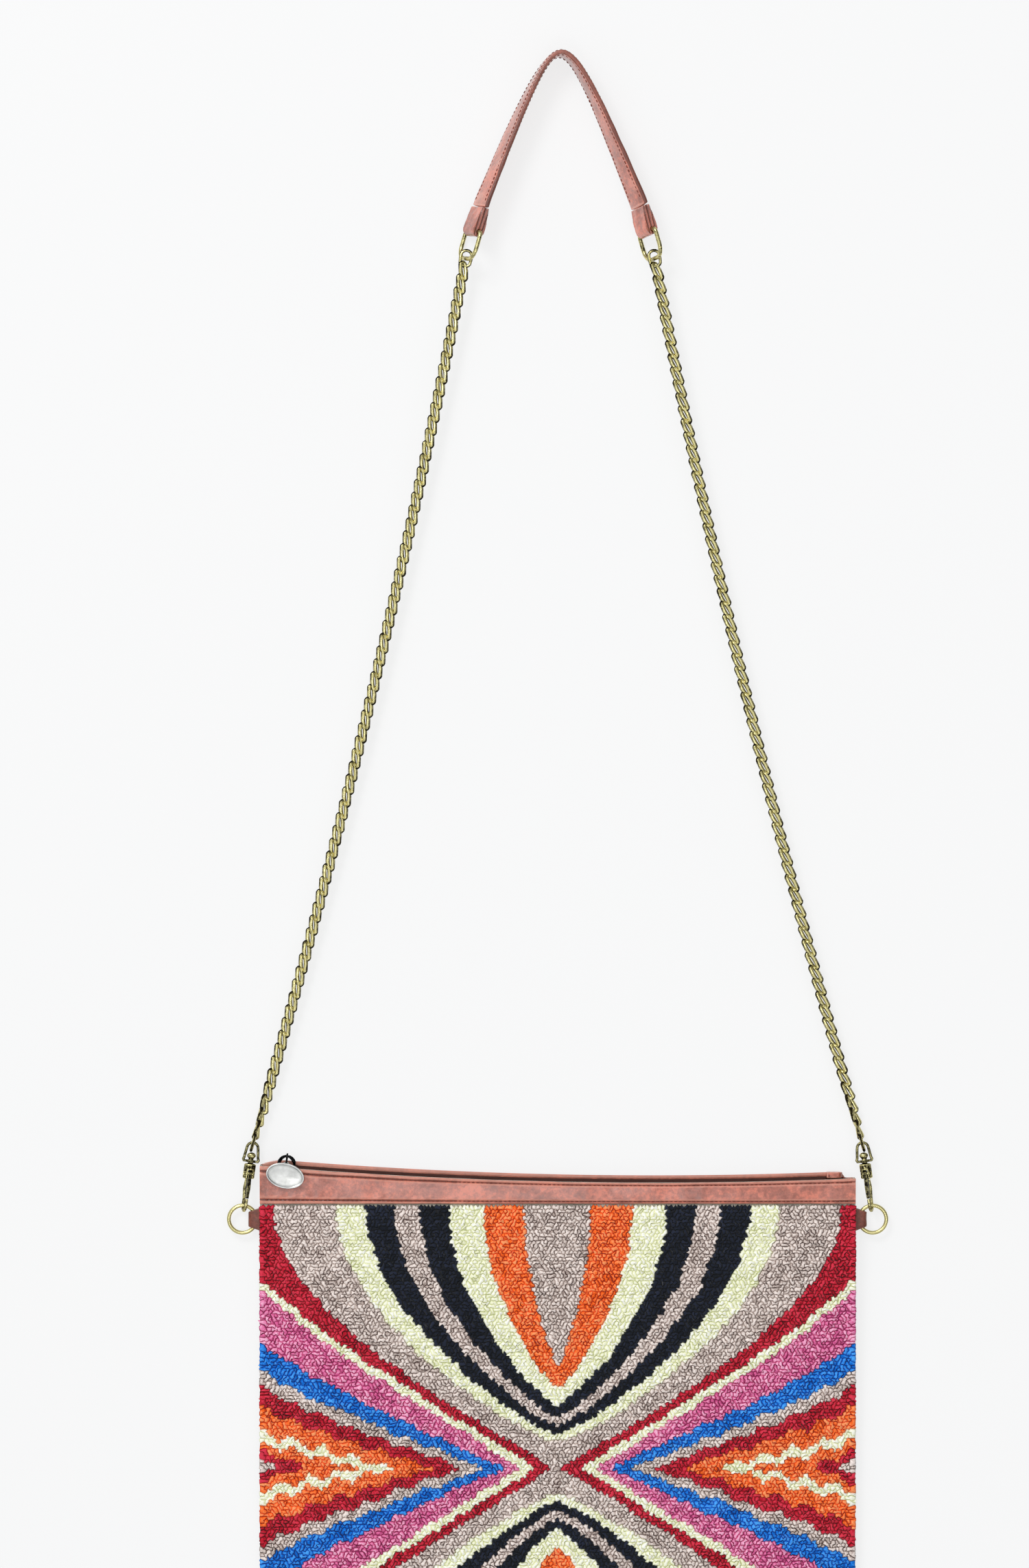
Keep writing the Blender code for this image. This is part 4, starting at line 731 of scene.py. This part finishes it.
def yarn_at(x, y):
    """Frame node and yarn colour at a point of the front, in metres."""
    wander = 1.1 * MM
    across = abs(x) + wander * noise.noise(Vector((x / (13 * MM), y / (13 * MM), 3)))
    depth = abs(y - FIELD_CENTRE) + wander * noise.noise(Vector((x / (13 * MM), y / (13 * MM), 8)))
    across, depth = max(0.0, across / MM), max(0.0, depth / MM)
    reach, half_field = HALF_WIDTH / MM, FIELD_HALF / MM
    side = "left" if x < 0 else "right"
    place = "upper" if y > FIELD_CENTRE else "lower"
    if across < 1.4 + 144.1 * math.sin(math.pi / 2 * min(1, depth / half_field)):
        for half, point, number, node, yarn in V_BANDS:
            share = min(1.0, max(0.0, (depth - point) / (half_field - point)))
            if across < half * math.sin(math.pi / 2 * share) ** 0.8:
                return f"pile_{place}_{number}_{node}", yarn
        return "pile_cross_taupe", "taupe"
    for half, point, number, node, yarn, teeth in CHEVRONS:
        share = max(0.0, (across - point) / (reach - point))
        edge = half * share * (0.9 + 0.1 * share ** 4)
        if edge > 0 and depth < edge + teeth * zigzag(across, 15.0) * min(1.0, 4 * share):
            return f"pile_{side}_{number}_{node}", yarn
    return f"pile_{side}_1_red", "red"


def honeycomb(spacing, dice):
    """Jittered honeycomb over the front: corner places, and each cell's corner keys, node and yarn."""
    radius = spacing / math.sqrt(3)
    corners = {}
    cells = {}
    rows = int((FIELD_TOP - BAG_LOW) / (1.5 * radius))
    columns = int(HALF_WIDTH / spacing) + 1
    for row in range(rows + 1):
        odd = row % 2
        for column in range(-columns, columns + 1):
            x = (column + odd / 2) * spacing
            y = BAG_LOW + 1.5 * radius * row + radius / 2
            if abs(x) > HALF_WIDTH - spacing / 3 or y > FIELD_TOP - radius / 3:
                continue
            u, v = 2 * column + odd, 3 * row
            keys = [(u, v + 2), (u - 1, v + 1), (u - 1, v - 1), (u, v - 2), (u + 1, v - 1), (u + 1, v + 1)]
            for key in keys:
                if key not in corners:
                    jitter = 0.28 * spacing
                    place_x = key[0] * spacing / 2
                    place_y = BAG_LOW + radius / 2 + key[1] * radius / 2
                    if abs(place_x) > HALF_WIDTH - 0.8 * spacing:
                        place_x = math.copysign(HALF_WIDTH + dice.uniform(-0.1, 0.5) * MM, place_x)
                    else:
                        place_x += dice.uniform(-jitter, jitter)
                    if place_y < BAG_LOW + 0.8 * radius:
                        place_y = BAG_LOW + dice.uniform(0, 0.3) * MM
                    elif place_y > FIELD_TOP - 0.8 * radius:
                        place_y = FIELD_TOP
                    else:
                        place_y += dice.uniform(-jitter, jitter)
                    corners[key] = (place_x, place_y)
            cells[(column, row)] = (keys, *yarn_at(x, y))
    return corners, cells


def merge_rings(first, second):
    """One ring of corner keys from two rings that share one side."""
    for place, key in enumerate(first):
        after = first[(place + 1) % len(first)]
        if key in second and after in second:
            start = (place + 1) % len(first)
            ring = first[start:] + first[:start]
            turn = second.index(key)
            other = second[turn:] + second[:turn]
            return ring + other[1:-1]
    raise ValueError("cells share no side")


def pair_cells(cells, dice):
    """Join most cells to a neighbour of the same yarn, so that the loops lie every which way."""
    order = list(cells)
    dice.shuffle(order)
    used = set()
    fields = {}
    for column, row in order:
        if (column, row) in used:
            continue
        used.add((column, row))
        keys, node, yarn = cells[(column, row)]
        odd = row % 2
        near = [(column - 1, row), (column + 1, row), (column - 1 + odd, row + 1), (column + odd, row + 1),
                (column - 1 + odd, row - 1), (column + odd, row - 1)]
        free = [spot for spot in near if spot in cells and spot not in used
                and cells[spot][1:] == (node, yarn)]
        if free and dice.random() < 0.85:
            spot = dice.choice(free)
            used.add(spot)
            keys = merge_rings(keys, cells[spot][0])
        fields.setdefault(node, []).append((keys, yarn))
    return fields


class CLUTCH_OT_yarn(bpy.types.Operator):
    """Stitch the front: thousands of short yarn loops in nested Vs and chevrons on the canvas"""
    bl_idname = "clutch.yarn"
    bl_label = "Yarn front"

    def execute(self, context):
        sizes = context.scene.clutch_sizes
        dice = random.Random(sizes.seed)
        corners, cells = honeycomb(sizes.loop_spacing, dice)
        fields = pair_cells(cells, dice)
        for node in sorted(fields):
            self.stitch_field(node, fields[node], corners, sizes, dice)
        return {"FINISHED"}

    def stitch_field(self, node, loops, corners, sizes, dice):
        """One field: its cells set on the canvas, given thickness, then each raised into a rounded loop."""
        name = node.replace("pile_", "yarn_field_")
        yarns = sorted({yarn for _, yarn in loops})
        index = {}
        for keys, _ in loops:
            for key in keys:
                index.setdefault(key, len(index))
        verts = [(*corners[key], canvas_top(*corners[key]) + YARN_BACKING) for key in index]
        mesh = bpy.data.meshes.new(name)
        mesh.from_pydata(verts, [], [[index[key] for key in keys] for keys, _ in loops])
        obj = bpy.data.objects.new(name, mesh)
        bpy.context.scene.collection.objects.link(obj)
        for yarn in yarns:
            mesh.materials.append(finishes()[f"loop_yarn_{yarn}"])
        mesh.polygons.foreach_set("material_index", [yarns.index(yarn) for _, yarn in loops])
        tint = mesh.attributes.new("tint", "FLOAT", "FACE")
        tint.data.foreach_set("value", [dice.random() for _ in loops])
        pick(obj)
        bpy.ops.object.mode_set(mode="EDIT")
        bpy.ops.mesh.select_mode(type="FACE")
        bpy.ops.mesh.select_all(action="SELECT")
        bpy.ops.mesh.extrude_region_move(TRANSFORM_OT_translate={"value": (0, 0, -0.7 * MM)})
        bpy.ops.mesh.select_all(action="SELECT")
        bpy.ops.mesh.normals_make_consistent(inside=False)
        bpy.ops.object.mode_set(mode="OBJECT")
        # each top face is marked with its loop's height, and the faces of each height are raised together
        rises = [dice.choice(LOOP_HEIGHTS) if face.normal.z > 0.4 else 0.0 for face in obj.data.polygons]
        obj.data.attributes.new("level", "FLOAT", "FACE").data.foreach_set("value", rises)
        for wanted in LOOP_HEIGHTS:
            marks = [0.0] * len(obj.data.polygons)
            obj.data.attributes["level"].data.foreach_get("value", marks)
            select_faces(obj, lambda face: abs(marks[face.index] - wanted) < 0.01)
            bpy.ops.mesh.inset(thickness=0.24 * sizes.loop_spacing, depth=wanted * sizes.loop_relief,
                               use_individual=True, use_even_offset=False)
            bpy.ops.mesh.poke(offset=0.35 * sizes.loop_relief)
            bpy.ops.object.mode_set(mode="OBJECT")
        obj.data.attributes.remove(obj.data.attributes["level"])
        # loop height from 0 in the crevices to 1 on the crowns, turned into painted shade and painted
        # highlight by the yarn's finish
        crown = obj.data.attributes.new("crown", "FLOAT", "POINT")
        rise = 1.3 * sizes.loop_relief
        heights = [vert.co.z - canvas_top(vert.co.x, vert.co.y) - YARN_BACKING for vert in obj.data.vertices]
        crown.data.foreach_set("value", [min(1.0, max(0.0, height / rise)) for height in heights])
        bpy.ops.object.shade_smooth_by_angle(angle=math.radians(75))
        obj.data.name = name
        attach(obj, "bag")
        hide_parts(node)


# Leather bands and the zip

class CLUTCH_OT_bands(bpy.types.Operator):
    """Make the front and rear leather bands, puffed between their two rows of stitches"""
    bl_idname = "clutch.bands"
    bl_label = "Leather bands"

    def execute(self, context):
        thick = 1.2 * MM

        def band_height(x, y, share):
            """Outer face of the front band: full between its seams, drawn down at them and at its edges."""
            dips = ((SEAM_LOW, 0.035, 0.75), (SEAM_HIGH, 0.04, 0.75), (0.0, 0.03, 0.5), (1.0, 0.03, 0.5))
            down = sum(depth * math.exp(-((share - place) / spread) ** 2) for place, spread, depth in dips)
            ripple = 0.3 * noise.noise(Vector((x / (19 * MM), y / (9 * MM), 1)))
            pucker = 0.16 * noise.noise(Vector((x / (4 * MM), y / (8 * MM), 5))) * abs(2 * share - 1)
            return canvas_top(x, y) + (1.45 - down + min(0.15, ripple) + pucker) * MM

        def front(across, along):
            x = (2 * across - 1) * HALF_WIDTH
            top = mouth_line(x) + 0.2 * MM * noise.noise(Vector((x / (22 * MM), 0, 2)))
            y = BAND_LOW + (top - BAND_LOW) * along
            return (x, y, band_height(x, y, along))

        band = shaped_sheet(320, 34, front)
        apply_modifier(band, "SOLIDIFY", thickness=thick, offset=-1)
        under = len(band.data.vertices) // 2
        for vert in list(band.data.vertices)[under:]:
            vert.co.z = canvas_top(vert.co.x, vert.co.y) + 0.3 * MM
        soften(band, 0.3 * MM, 3, 60)
        mark_hollows(band, 16, 0.16 * MM)
        stand_in(band, "front_band", "leather", "bag", "band_leather")

        def rear(across, along):
            x = (2 * across - 1) * HALF_WIDTH
            # the lip tucks in behind the front band at both ends
            tuck = max(0.0, min(1.0, (x + HALF_WIDTH) / (13 * MM), (HALF_WIDTH - 5 * MM - x) / (3 * MM)))
            lip = 3.2 * MM * (1 - (1 - tuck) ** 2)
            y = BAND_LOW + (mouth_line(x, lip) - BAND_LOW) * along
            roll = 0.5 * MM * math.exp(-((along - 0.93) / 0.06) ** 2)
            return (x, y, thick + roll + 0.12 * MM * noise.noise(Vector((x / (14 * MM), y / (8 * MM), 4))))

        band = shaped_sheet(240, 20, rear)
        apply_modifier(band, "SOLIDIFY", thickness=thick, offset=-1)
        soften(band, 0.4 * MM, 3, 50)
        for vert in band.data.vertices:
            vert.co.z = max(0.0, vert.co.z)
        mark_hollows(band, 12, 0.12 * MM)
        stand_in(band, "rear_band", "leather", "bag", "band_leather")

        for name, share in (("lower", SEAM_LOW), ("upper", SEAM_HIGH)):
            steps = 150
            reach = HALF_WIDTH - 2.5 * MM
            line = []
            for step in range(steps + 1):
                x = (2 * step / steps - 1) * reach
                y = BAND_LOW + (mouth_line(x) - BAND_LOW) * share
                line.append(Vector((x, y, band_height(x, y, share) + 0.15 * MM)))
            stitch_row(f"band_stitches_{name}", line, [Vector((0, 0, 1))] * steps, "bag", "brown_thread")
        return {"FINISHED"}


class CLUTCH_OT_zip(bpy.types.Operator):
    """Make the zip between the bands: tapes, coiled teeth, stops and the leather tab over its end"""
    bl_idname = "clutch.zip"
    bl_label = "Zip"

    def execute(self, context):
        sizes = context.scene.clutch_sizes
        for place, side in (("front", 1), ("rear", -1)):
            tape = copy_of_node(f"zip_tape_{place}")
            soften(tape, 0.12 * MM, 1, 50)
            if side < 0:
                # the rear tape takes a dark strip as a painted shadow between the lips
                pick(self.tape_edge(), tape)
                bpy.ops.object.join()
                tape = context.active_object
            stand_in(tape, f"zip_tape_{place}", "cloth", "bag", "brown_tape_weave")
            bpy.ops.object.select_all(action="DESELECT")
            bpy.ops.mesh.primitive_torus_add(major_segments=10, minor_segments=5, major_radius=0.56 * MM,
                                             minor_radius=0.24 * MM)
            tooth = context.active_object
            tooth.data.transform(Matrix.Rotation(math.radians(78), 4, "Y"))
            count = int((END_TAB_START - ZIP_START) / sizes.coil_pitch)
            middle = ZIP_Z + side * 1.25 * MM
            places = []
            for step in range(count):
                x = ZIP_START + (step + 0.5 + 0.25 * side) * sizes.coil_pitch
                places.append(Matrix.Translation((x, mouth_line(x, ZIP_RISE), middle)))
            coil = repeat(tooth, places)
            stand_in(coil, f"zip_coil_{place}", "teeth", "bag", "coil_nylon")
        for node in ("zip_top_stop_front", "zip_top_stop_rear", "zip_bottom_stop"):
            stop = copy_of_node(node)
            soften(stop, 0.25 * MM, 3)
            stand_in(stop, node, "clamp", "bag", "black_enamel")
        tab = cast_copy("zip_end_tab", 0.3 * MM, 4)
        crumple(tab, 2.5 * MM, 0.12 * MM, 3)
        mark_hollows(tab, 10, 0.1 * MM)
        stand_in(tab, "zip_end_tab", "leather", "bag", "band_leather")
        low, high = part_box("zip_end_tab")
        x = low.x + 1.1 * MM
        line = [Vector((x, low.y + 0.1 * MM, high.z - 0.05 * MM)), Vector((x, high.y, high.z - 0.05 * MM))]
        stitch_row("end_tab_stitches", line, [Vector((0, 0, 1))], "bag", "brown_thread")
        return {"FINISHED"}

    def tape_edge(self):
        """Strip of tape cloth, sewn flat on the rear band: a painted shadow, the dark line of shade between
        the lips.
        """
        def spot(across, along):
            x = ZIP_START + (END_TAB_START - ZIP_START) * across
            return (x, mouth_line(x) + (1.1 - 3 * along) * MM, 1.85 * MM)

        edge = shaped_sheet(200, 4, spot)
        apply_modifier(edge, "SOLIDIFY", thickness=0.45 * MM, offset=-1)
        return edge


def disc_frame():
    """Frame of the disc's outer face: X along the oval, Z out of it, at its middle."""
    arc = math.asin((PULL_PIVOT.x - MOUTH_CENTRE_X) / MOUTH_RADIUS)
    turned = Matrix.Translation(PULL_PIVOT) @ Matrix.Rotation(arc, 4, "Z")
    return turned @ Matrix.Translation((0, -5.8 * MM, 3.6 * MM)) @ Matrix.Rotation(math.radians(-8), 4, "Z")


class CLUTCH_OT_slider(bpy.types.Operator):
    """Make the zip's slider, its pull link and the plain oval disc with a raised rim"""
    bl_idname = "clutch.slider"
    bl_label = "Slider and pull"

    def execute(self, context):
        slider = cast_copy("zip_slider", 0.2 * MM, 3)
        # the bridge that carries the pull is a heavier bar than the plates
        for vert in slider.data.vertices:
            vert.co += vert.normal * 0.4 * MM * min(1.0, max(0.0, (vert.co.y - 146.6 * MM) / MM))
        mark_hollows(slider, 10, 0.06 * MM)
        stand_in(slider, "zip_slider", "body", "slider", "black_enamel")
        link = cast_copy("zip_pull_link", 0.1 * MM, 4)
        swell(link, 0.2 * MM)
        mark_hollows(link, 10, 0.05 * MM)
        stand_in(link, "zip_pull_link", "wire", "pull_link", "black_enamel")

        lug = cast_copy("zip_pull_disc", 0.18 * MM, 3)
        face = disc_frame()
        thick = 1.8 * MM
        bpy.ops.object.select_all(action="DESELECT")
        bpy.ops.mesh.primitive_cylinder_add(vertices=72, radius=0.5, depth=1, end_fill_type="NGON")
        disc = context.active_object
        disc.data.transform(Matrix.Diagonal((19.7 * MM, 12.8 * MM, thick, 1)))
        bpy.ops.object.mode_set(mode="EDIT")
        bpy.ops.mesh.select_mode(type="FACE")
        select_faces(disc, lambda side: side.normal.z > 0.9)
        for width, rise in ((0.7, 0), (0.3, -0.28), (2.6, 0.22)):
            bpy.ops.mesh.inset(thickness=width * MM, depth=rise * MM)
        bpy.ops.object.mode_set(mode="OBJECT")
        soften(disc, 0.3 * MM, 4, 25)
        disc.data.transform(face @ Matrix.Translation((0, 0, -thick / 2)))
        # of the frame's shape only the lug stays in sight, its plate drawn in under the turned disc
        inverse = face.inverted()
        for vert in lug.data.vertices:
            local = inverse @ vert.co
            if local.z > -1.95 * MM:
                drawn = Vector((local.x * 0.9, local.y * 0.9, -0.9 * MM + (local.z + 0.9 * MM) * 0.4))
                vert.co = face @ drawn
        pick(disc, lug)
        bpy.ops.object.join()
        mark_hollows(disc, 6, 0.08 * MM)
        stand_in(disc, "zip_pull_disc", "oval", "pull_disc", "satin_nickel", 35)
        return {"FINISHED"}


# Corners

class CLUTCH_OT_corners(bpy.types.Operator):
    """Make the folded leather side tabs and the drawn wire rings they hold"""
    bl_idname = "clutch.corners"
    bl_label = "Side tabs and rings"

    def execute(self, context):
        for name, side in SIDES:
            tab = cast_copy(f"side_tab_{name}", 0.28 * MM, 5)
            crumple(tab, 3 * MM, 0.15 * MM, 4 + side)
            mark_hollows(tab, 12, 0.12 * MM)
            stand_in(tab, f"side_tab_{name}", "leather", "bag", "tab_leather")
            bpy.ops.object.select_all(action="DESELECT")
            bpy.ops.mesh.primitive_torus_add(location=(side * RING_X, RING_Y, RING_Z), major_segments=96,
                                             minor_segments=20, major_radius=7 * MM, minor_radius=1 * MM)
            stand_in(context.active_object, f"side_ring_{name}", "wire", f"side_ring_{name}",
                     "olive_brass_plate")
        return {"FINISHED"}


class CLUTCH_OT_hooks(bpy.types.Operator):
    """Make the cast snap hooks with their gates, pins, springs and swivel eyes"""
    bl_idname = "clutch.hooks"
    bl_label = "Snap hooks"

    def execute(self, context):
        for name, side in SIDES:
            body = cast_copy(f"hook_body_{name}", 0.23 * MM, 6)
            self.broaden(body, side)
            mark_hollows(body, 16, 0.1 * MM)
            stand_in(body, f"hook_body_{name}", "cast", f"hook_{name}", "rubbed_brass_plate")
            gate = cast_copy(f"hook_gate_{name}", 0.14 * MM, 4)
            self.broaden(gate, side)
            mark_hollows(gate, 12, 0.08 * MM)
            stand_in(gate, f"hook_gate_{name}", "cast", f"gate_{name}", "dark_brass_plate")
            pin = copy_of_node(f"gate_pin_{name}")
            soften(pin, 0.15 * MM, 2, 50)
            stand_in(pin, f"gate_pin_{name}", "rivet", f"hook_{name}", "olive_brass_plate")
            leaf = copy_of_node(f"gate_spring_{name}")
            soften(leaf, 0.06 * MM, 2)
            stand_in(leaf, f"gate_spring_{name}", "leaf", f"hook_{name}",
                     "bright_spring_plate")
            eye = cast_copy(f"swivel_eye_{name}", 0.18 * MM, 6)
            mark_hollows(eye, 14, 0.08 * MM)
            stand_in(eye, f"swivel_eye_{name}", "cast", "strap", "dark_brass_plate")
        return {"FINISHED"}

    def broaden(self, obj, side):
        """Cast a piece of the hook up to a third broader, but for its bow, which turns beside the tab."""
        foot = hook_point(side, 0)
        axis = (hook_point(side, 10 * MM) - foot).normalized()
        for vert in obj.data.vertices:
            height = (vert.co - foot).dot(axis)
            share = min(1.0, max(0.0, (height - 7 * MM) / (6 * MM)))
            middle = foot + axis * height
            vert.co.x = middle.x + (vert.co.x - middle.x) * (1 + 0.35 * share)


# Chain strap

def curb_link(pitch, thickness, width, twist, lean):
    """One curb link: a wire oval with straight flanks, one end turned against the other, lying askew."""
    wire = thickness / 2
    bend = width / 2 - wire
    bpy.ops.object.select_all(action="DESELECT")
    bpy.ops.mesh.primitive_torus_add(major_segments=16, minor_segments=8, major_radius=bend,
                                     minor_radius=wire)
    link = bpy.context.active_object
    # painted highlight on top, painted shade on the flanks and where the next link sits
    shade = [0.02 + 0.6 * (1 - abs(vert.normal.z)) + 0.6 * (abs(vert.co.x) / (bend + wire)) ** 2
             for vert in link.data.vertices]
    link.data.attributes.new("hollow", "FLOAT", "POINT").data.foreach_set("value", shade)
    for vert in link.data.vertices:
        vert.co.x += math.copysign(pitch / 2 + wire - bend, vert.co.x) if abs(vert.co.x) > 0.01 * MM else 0
    close_skin(link)
    apply_modifier(link, "SIMPLE_DEFORM", deform_method="TWIST", deform_axis="X", angle=twist)
    link.data.transform(Matrix.Rotation(lean, 4, "Z"))
    return link


def chain_line(side, share):
    """Point of a chain's middle line, from the hook's eye at 0 to the upper ring at 1."""
    low = hook_point(side, CHAIN_FOOT)
    high = loop_frame(side) @ Vector((UPPER_RING_REACH, 0, 0))
    return low.lerp(high, share) - Vector((side * CHAIN_BOW * 4 * share * (1 - share), 0, 0))


class CLUTCH_OT_chains(bpy.types.Operator):
    """Hang the two curb chains between the hooks' eyes and the upper rings"""
    bl_idname = "clutch.chains"
    bl_label = "Chains"

    def execute(self, context):
        sizes = context.scene.clutch_sizes
        dice = random.Random(sizes.seed + 1)
        for name, side in SIDES:
            link = curb_link(sizes.link_pitch, sizes.link_wire, sizes.link_width, sizes.link_twist,
                             sizes.link_lean)
            # a plain wider link at each end takes the eye and the ring
            joint = curb_link(sizes.link_pitch, 1.6 * MM, 7.2 * MM, 0, 0)
            count = round((chain_line(side, 1) - chain_line(side, 0)).length / sizes.link_pitch)
            places = []
            for step in range(count + 1):
                share = step / count
                ahead = chain_line(side, share + 0.001) - chain_line(side, share - 0.001)
                roll = math.radians(90) * max(0.0, 1 - share / 0.08) + math.radians(dice.uniform(-7, 7))
                spot = upright(chain_line(side, share), ahead, Vector((0, 0, 1)))
                places.append(spot @ Matrix.Rotation(roll, 4, "X"))
            ends = repeat(joint, [places[0], places[-1]])
            chain = repeat(link, places[1:-1])
            pick(chain, ends)
            bpy.ops.object.join()
            stand_in(chain, f"chain_{name}", "links", "strap", "rubbed_brass_plate", 60)
        return {"FINISHED"}


class CLUTCH_OT_pad(bpy.types.Operator):
    """Make the folded leather shoulder pad with its stitched edges, the end loops and the upper rings"""
    bl_idname = "clutch.pad"
    bl_label = "Shoulder pad"

    def execute(self, context):
        def spot(across, along):
            station = 2 * across - 1
            # the ends reach on into the mouths of their loops
            place = pad_point(station) + pad_ahead(station) * 0.95 * MM * station ** 15
            return place + pad_width_direction(station) * PAD_WIDTH * (along - 0.5)

        pad = shaped_sheet(180, 16, spot)
        apply_modifier(pad, "SOLIDIFY", thickness=3 * MM, offset=0)
        soften(pad, 0.8 * MM, 4, 50)
        rim_shade = self.press_seams(pad)
        crumple(pad, 9 * MM, 0.3 * MM, 7)
        mark_hollows(pad, 14, 0.12 * MM)
        # painted shade along the pad's edges, deeper towards its ends
        darken(pad, rim_shade)
        stand_in(pad, "shoulder_pad", "leather", "strap", "pad_leather")
        for row, share in (("upper", 0.36), ("lower", -0.36)):
            for face, out in (("outer", 1), ("inner", -1)):
                line, ups = [], []
                for step in range(121):
                    station = (2 * step / 120 - 1) * 0.985
                    direction = pad_width_direction(station)
                    normal = direction.cross(pad_ahead(station)).normalized() * out
                    line.append(pad_point(station) + direction * PAD_WIDTH * share + normal * 1.3 * MM)
                    ups.append(normal)
                stitch_row(f"pad_stitches_{row}_{face}", line, ups, "strap", "brown_thread")

        for name, side in SIDES:
            loop = cast_copy(f"pad_loop_{name}", 0.38 * MM, 6)
            place = loop_frame(side)
            inverse = place.inverted()
            cut_shade = []
            for vert in loop.data.vertices:
                local = inverse @ vert.co
                # the layers of the folded strap show as grooves on the cut edge, which gets painted shade,
                # deepest in the grooves
                layers = 0.5 + 0.5 * math.cos(local.y / (0.3 * MM))
                edge = min(1.0, max(0.0, (abs(local.z) - 6.3 * MM) / (0.6 * MM)))
                cut_shade.append(edge * (0.72 + 0.28 * layers))
                flare = 1.12 - 0.2 * local.x / (15 * MM)
                sunk = local.z - math.copysign(0.6 * MM * layers * edge, local.z)
                vert.co = place @ Vector((local.x, local.y * flare, sunk * flare))
            crumple(loop, 4 * MM, 0.25 * MM, 9 + side)
            mark_hollows(loop, 12, 0.12 * MM)
            darken(loop, cut_shade)
            stand_in(loop, f"pad_loop_{name}", "leather", "strap", "pad_leather")
            ring = cast_copy(f"upper_ring_{name}", 0.3 * MM, 5)
            swell(ring, 0.25 * MM)
            mark_hollows(ring, 12, 0.1 * MM)
            stand_in(ring, f"upper_ring_{name}", "wire", f"upper_ring_{name}",
                     "rubbed_brass_plate")
        return {"FINISHED"}

    def press_seams(self, pad):
        """Press the pad thinner towards its sewn edges, and say how much painted shade each point gets at the
        edges.
        """
        stations = [step / 200 - 1 for step in range(401)]
        line = [(pad_point(station), pad_width_direction(station), abs(station)) for station in stations]
        rim_shade = []
        for vert in pad.data.vertices:
            nearest = min(line, key=lambda row: (vert.co - row[0]).cross(row[1]).length_squared)
            place, direction, reach = nearest
            offset = vert.co - place
            along = offset.dot(direction)
            out = offset - direction * along
            share = min(1.0, abs(along) / (PAD_WIDTH / 2))
            vert.co = place + direction * along + out * (1 - 0.38 * share ** 3)
            rim_shade.append((0.8 + 0.2 * reach) * min(1.0, max(0.0, (share - 0.86) / 0.06)))
        return rim_shade


# Panel, registration and run

OPERATORS = (CLUTCH_OT_stage, CLUTCH_OT_cloth, CLUTCH_OT_yarn, CLUTCH_OT_bands, CLUTCH_OT_zip,
             CLUTCH_OT_slider, CLUTCH_OT_corners, CLUTCH_OT_hooks, CLUTCH_OT_chains, CLUTCH_OT_pad)


class CLUTCH_PT_parts(bpy.types.Panel):
    """List of the bag's parts, in the order of making"""
    bl_label = "Clutch Bag"
    bl_idname = "CLUTCH_PT_parts"
    bl_space_type = "VIEW_3D"
    bl_region_type = "UI"
    bl_category = "Clutch Bag"

    def draw(self, context):
        column = self.layout.column()
        for kind in OPERATORS:
            column.operator(kind.bl_idname)
        for group in (context.scene.clutch_sizes, context.scene.clutch_colours):
            for name in group.__annotations__:
                column.prop(group, name)


CLASSES = (ClutchSizes, ClutchColours, *OPERATORS, CLUTCH_PT_parts)


def register():
    """Register the classes and hang the settings on the scene."""
    for kind in CLASSES:
        bpy.utils.register_class(kind)
    bpy.types.Scene.clutch_sizes = PointerProperty(type=ClutchSizes)
    bpy.types.Scene.clutch_colours = PointerProperty(type=ClutchColours)


def unregister():
    """Take the settings and the classes away again."""
    del bpy.types.Scene.clutch_colours
    del bpy.types.Scene.clutch_sizes
    for kind in reversed(CLASSES):
        bpy.utils.unregister_class(kind)


def main():
    """Make the whole bag in order."""
    register()
    bpy.ops.clutch.stage()
    bpy.ops.clutch.cloth()
    bpy.ops.clutch.yarn()
    bpy.ops.clutch.bands()
    bpy.ops.clutch.zip()
    bpy.ops.clutch.slider()
    bpy.ops.clutch.corners()
    bpy.ops.clutch.hooks()
    bpy.ops.clutch.chains()
    bpy.ops.clutch.pad()


if __name__ == "__main__":
    main()
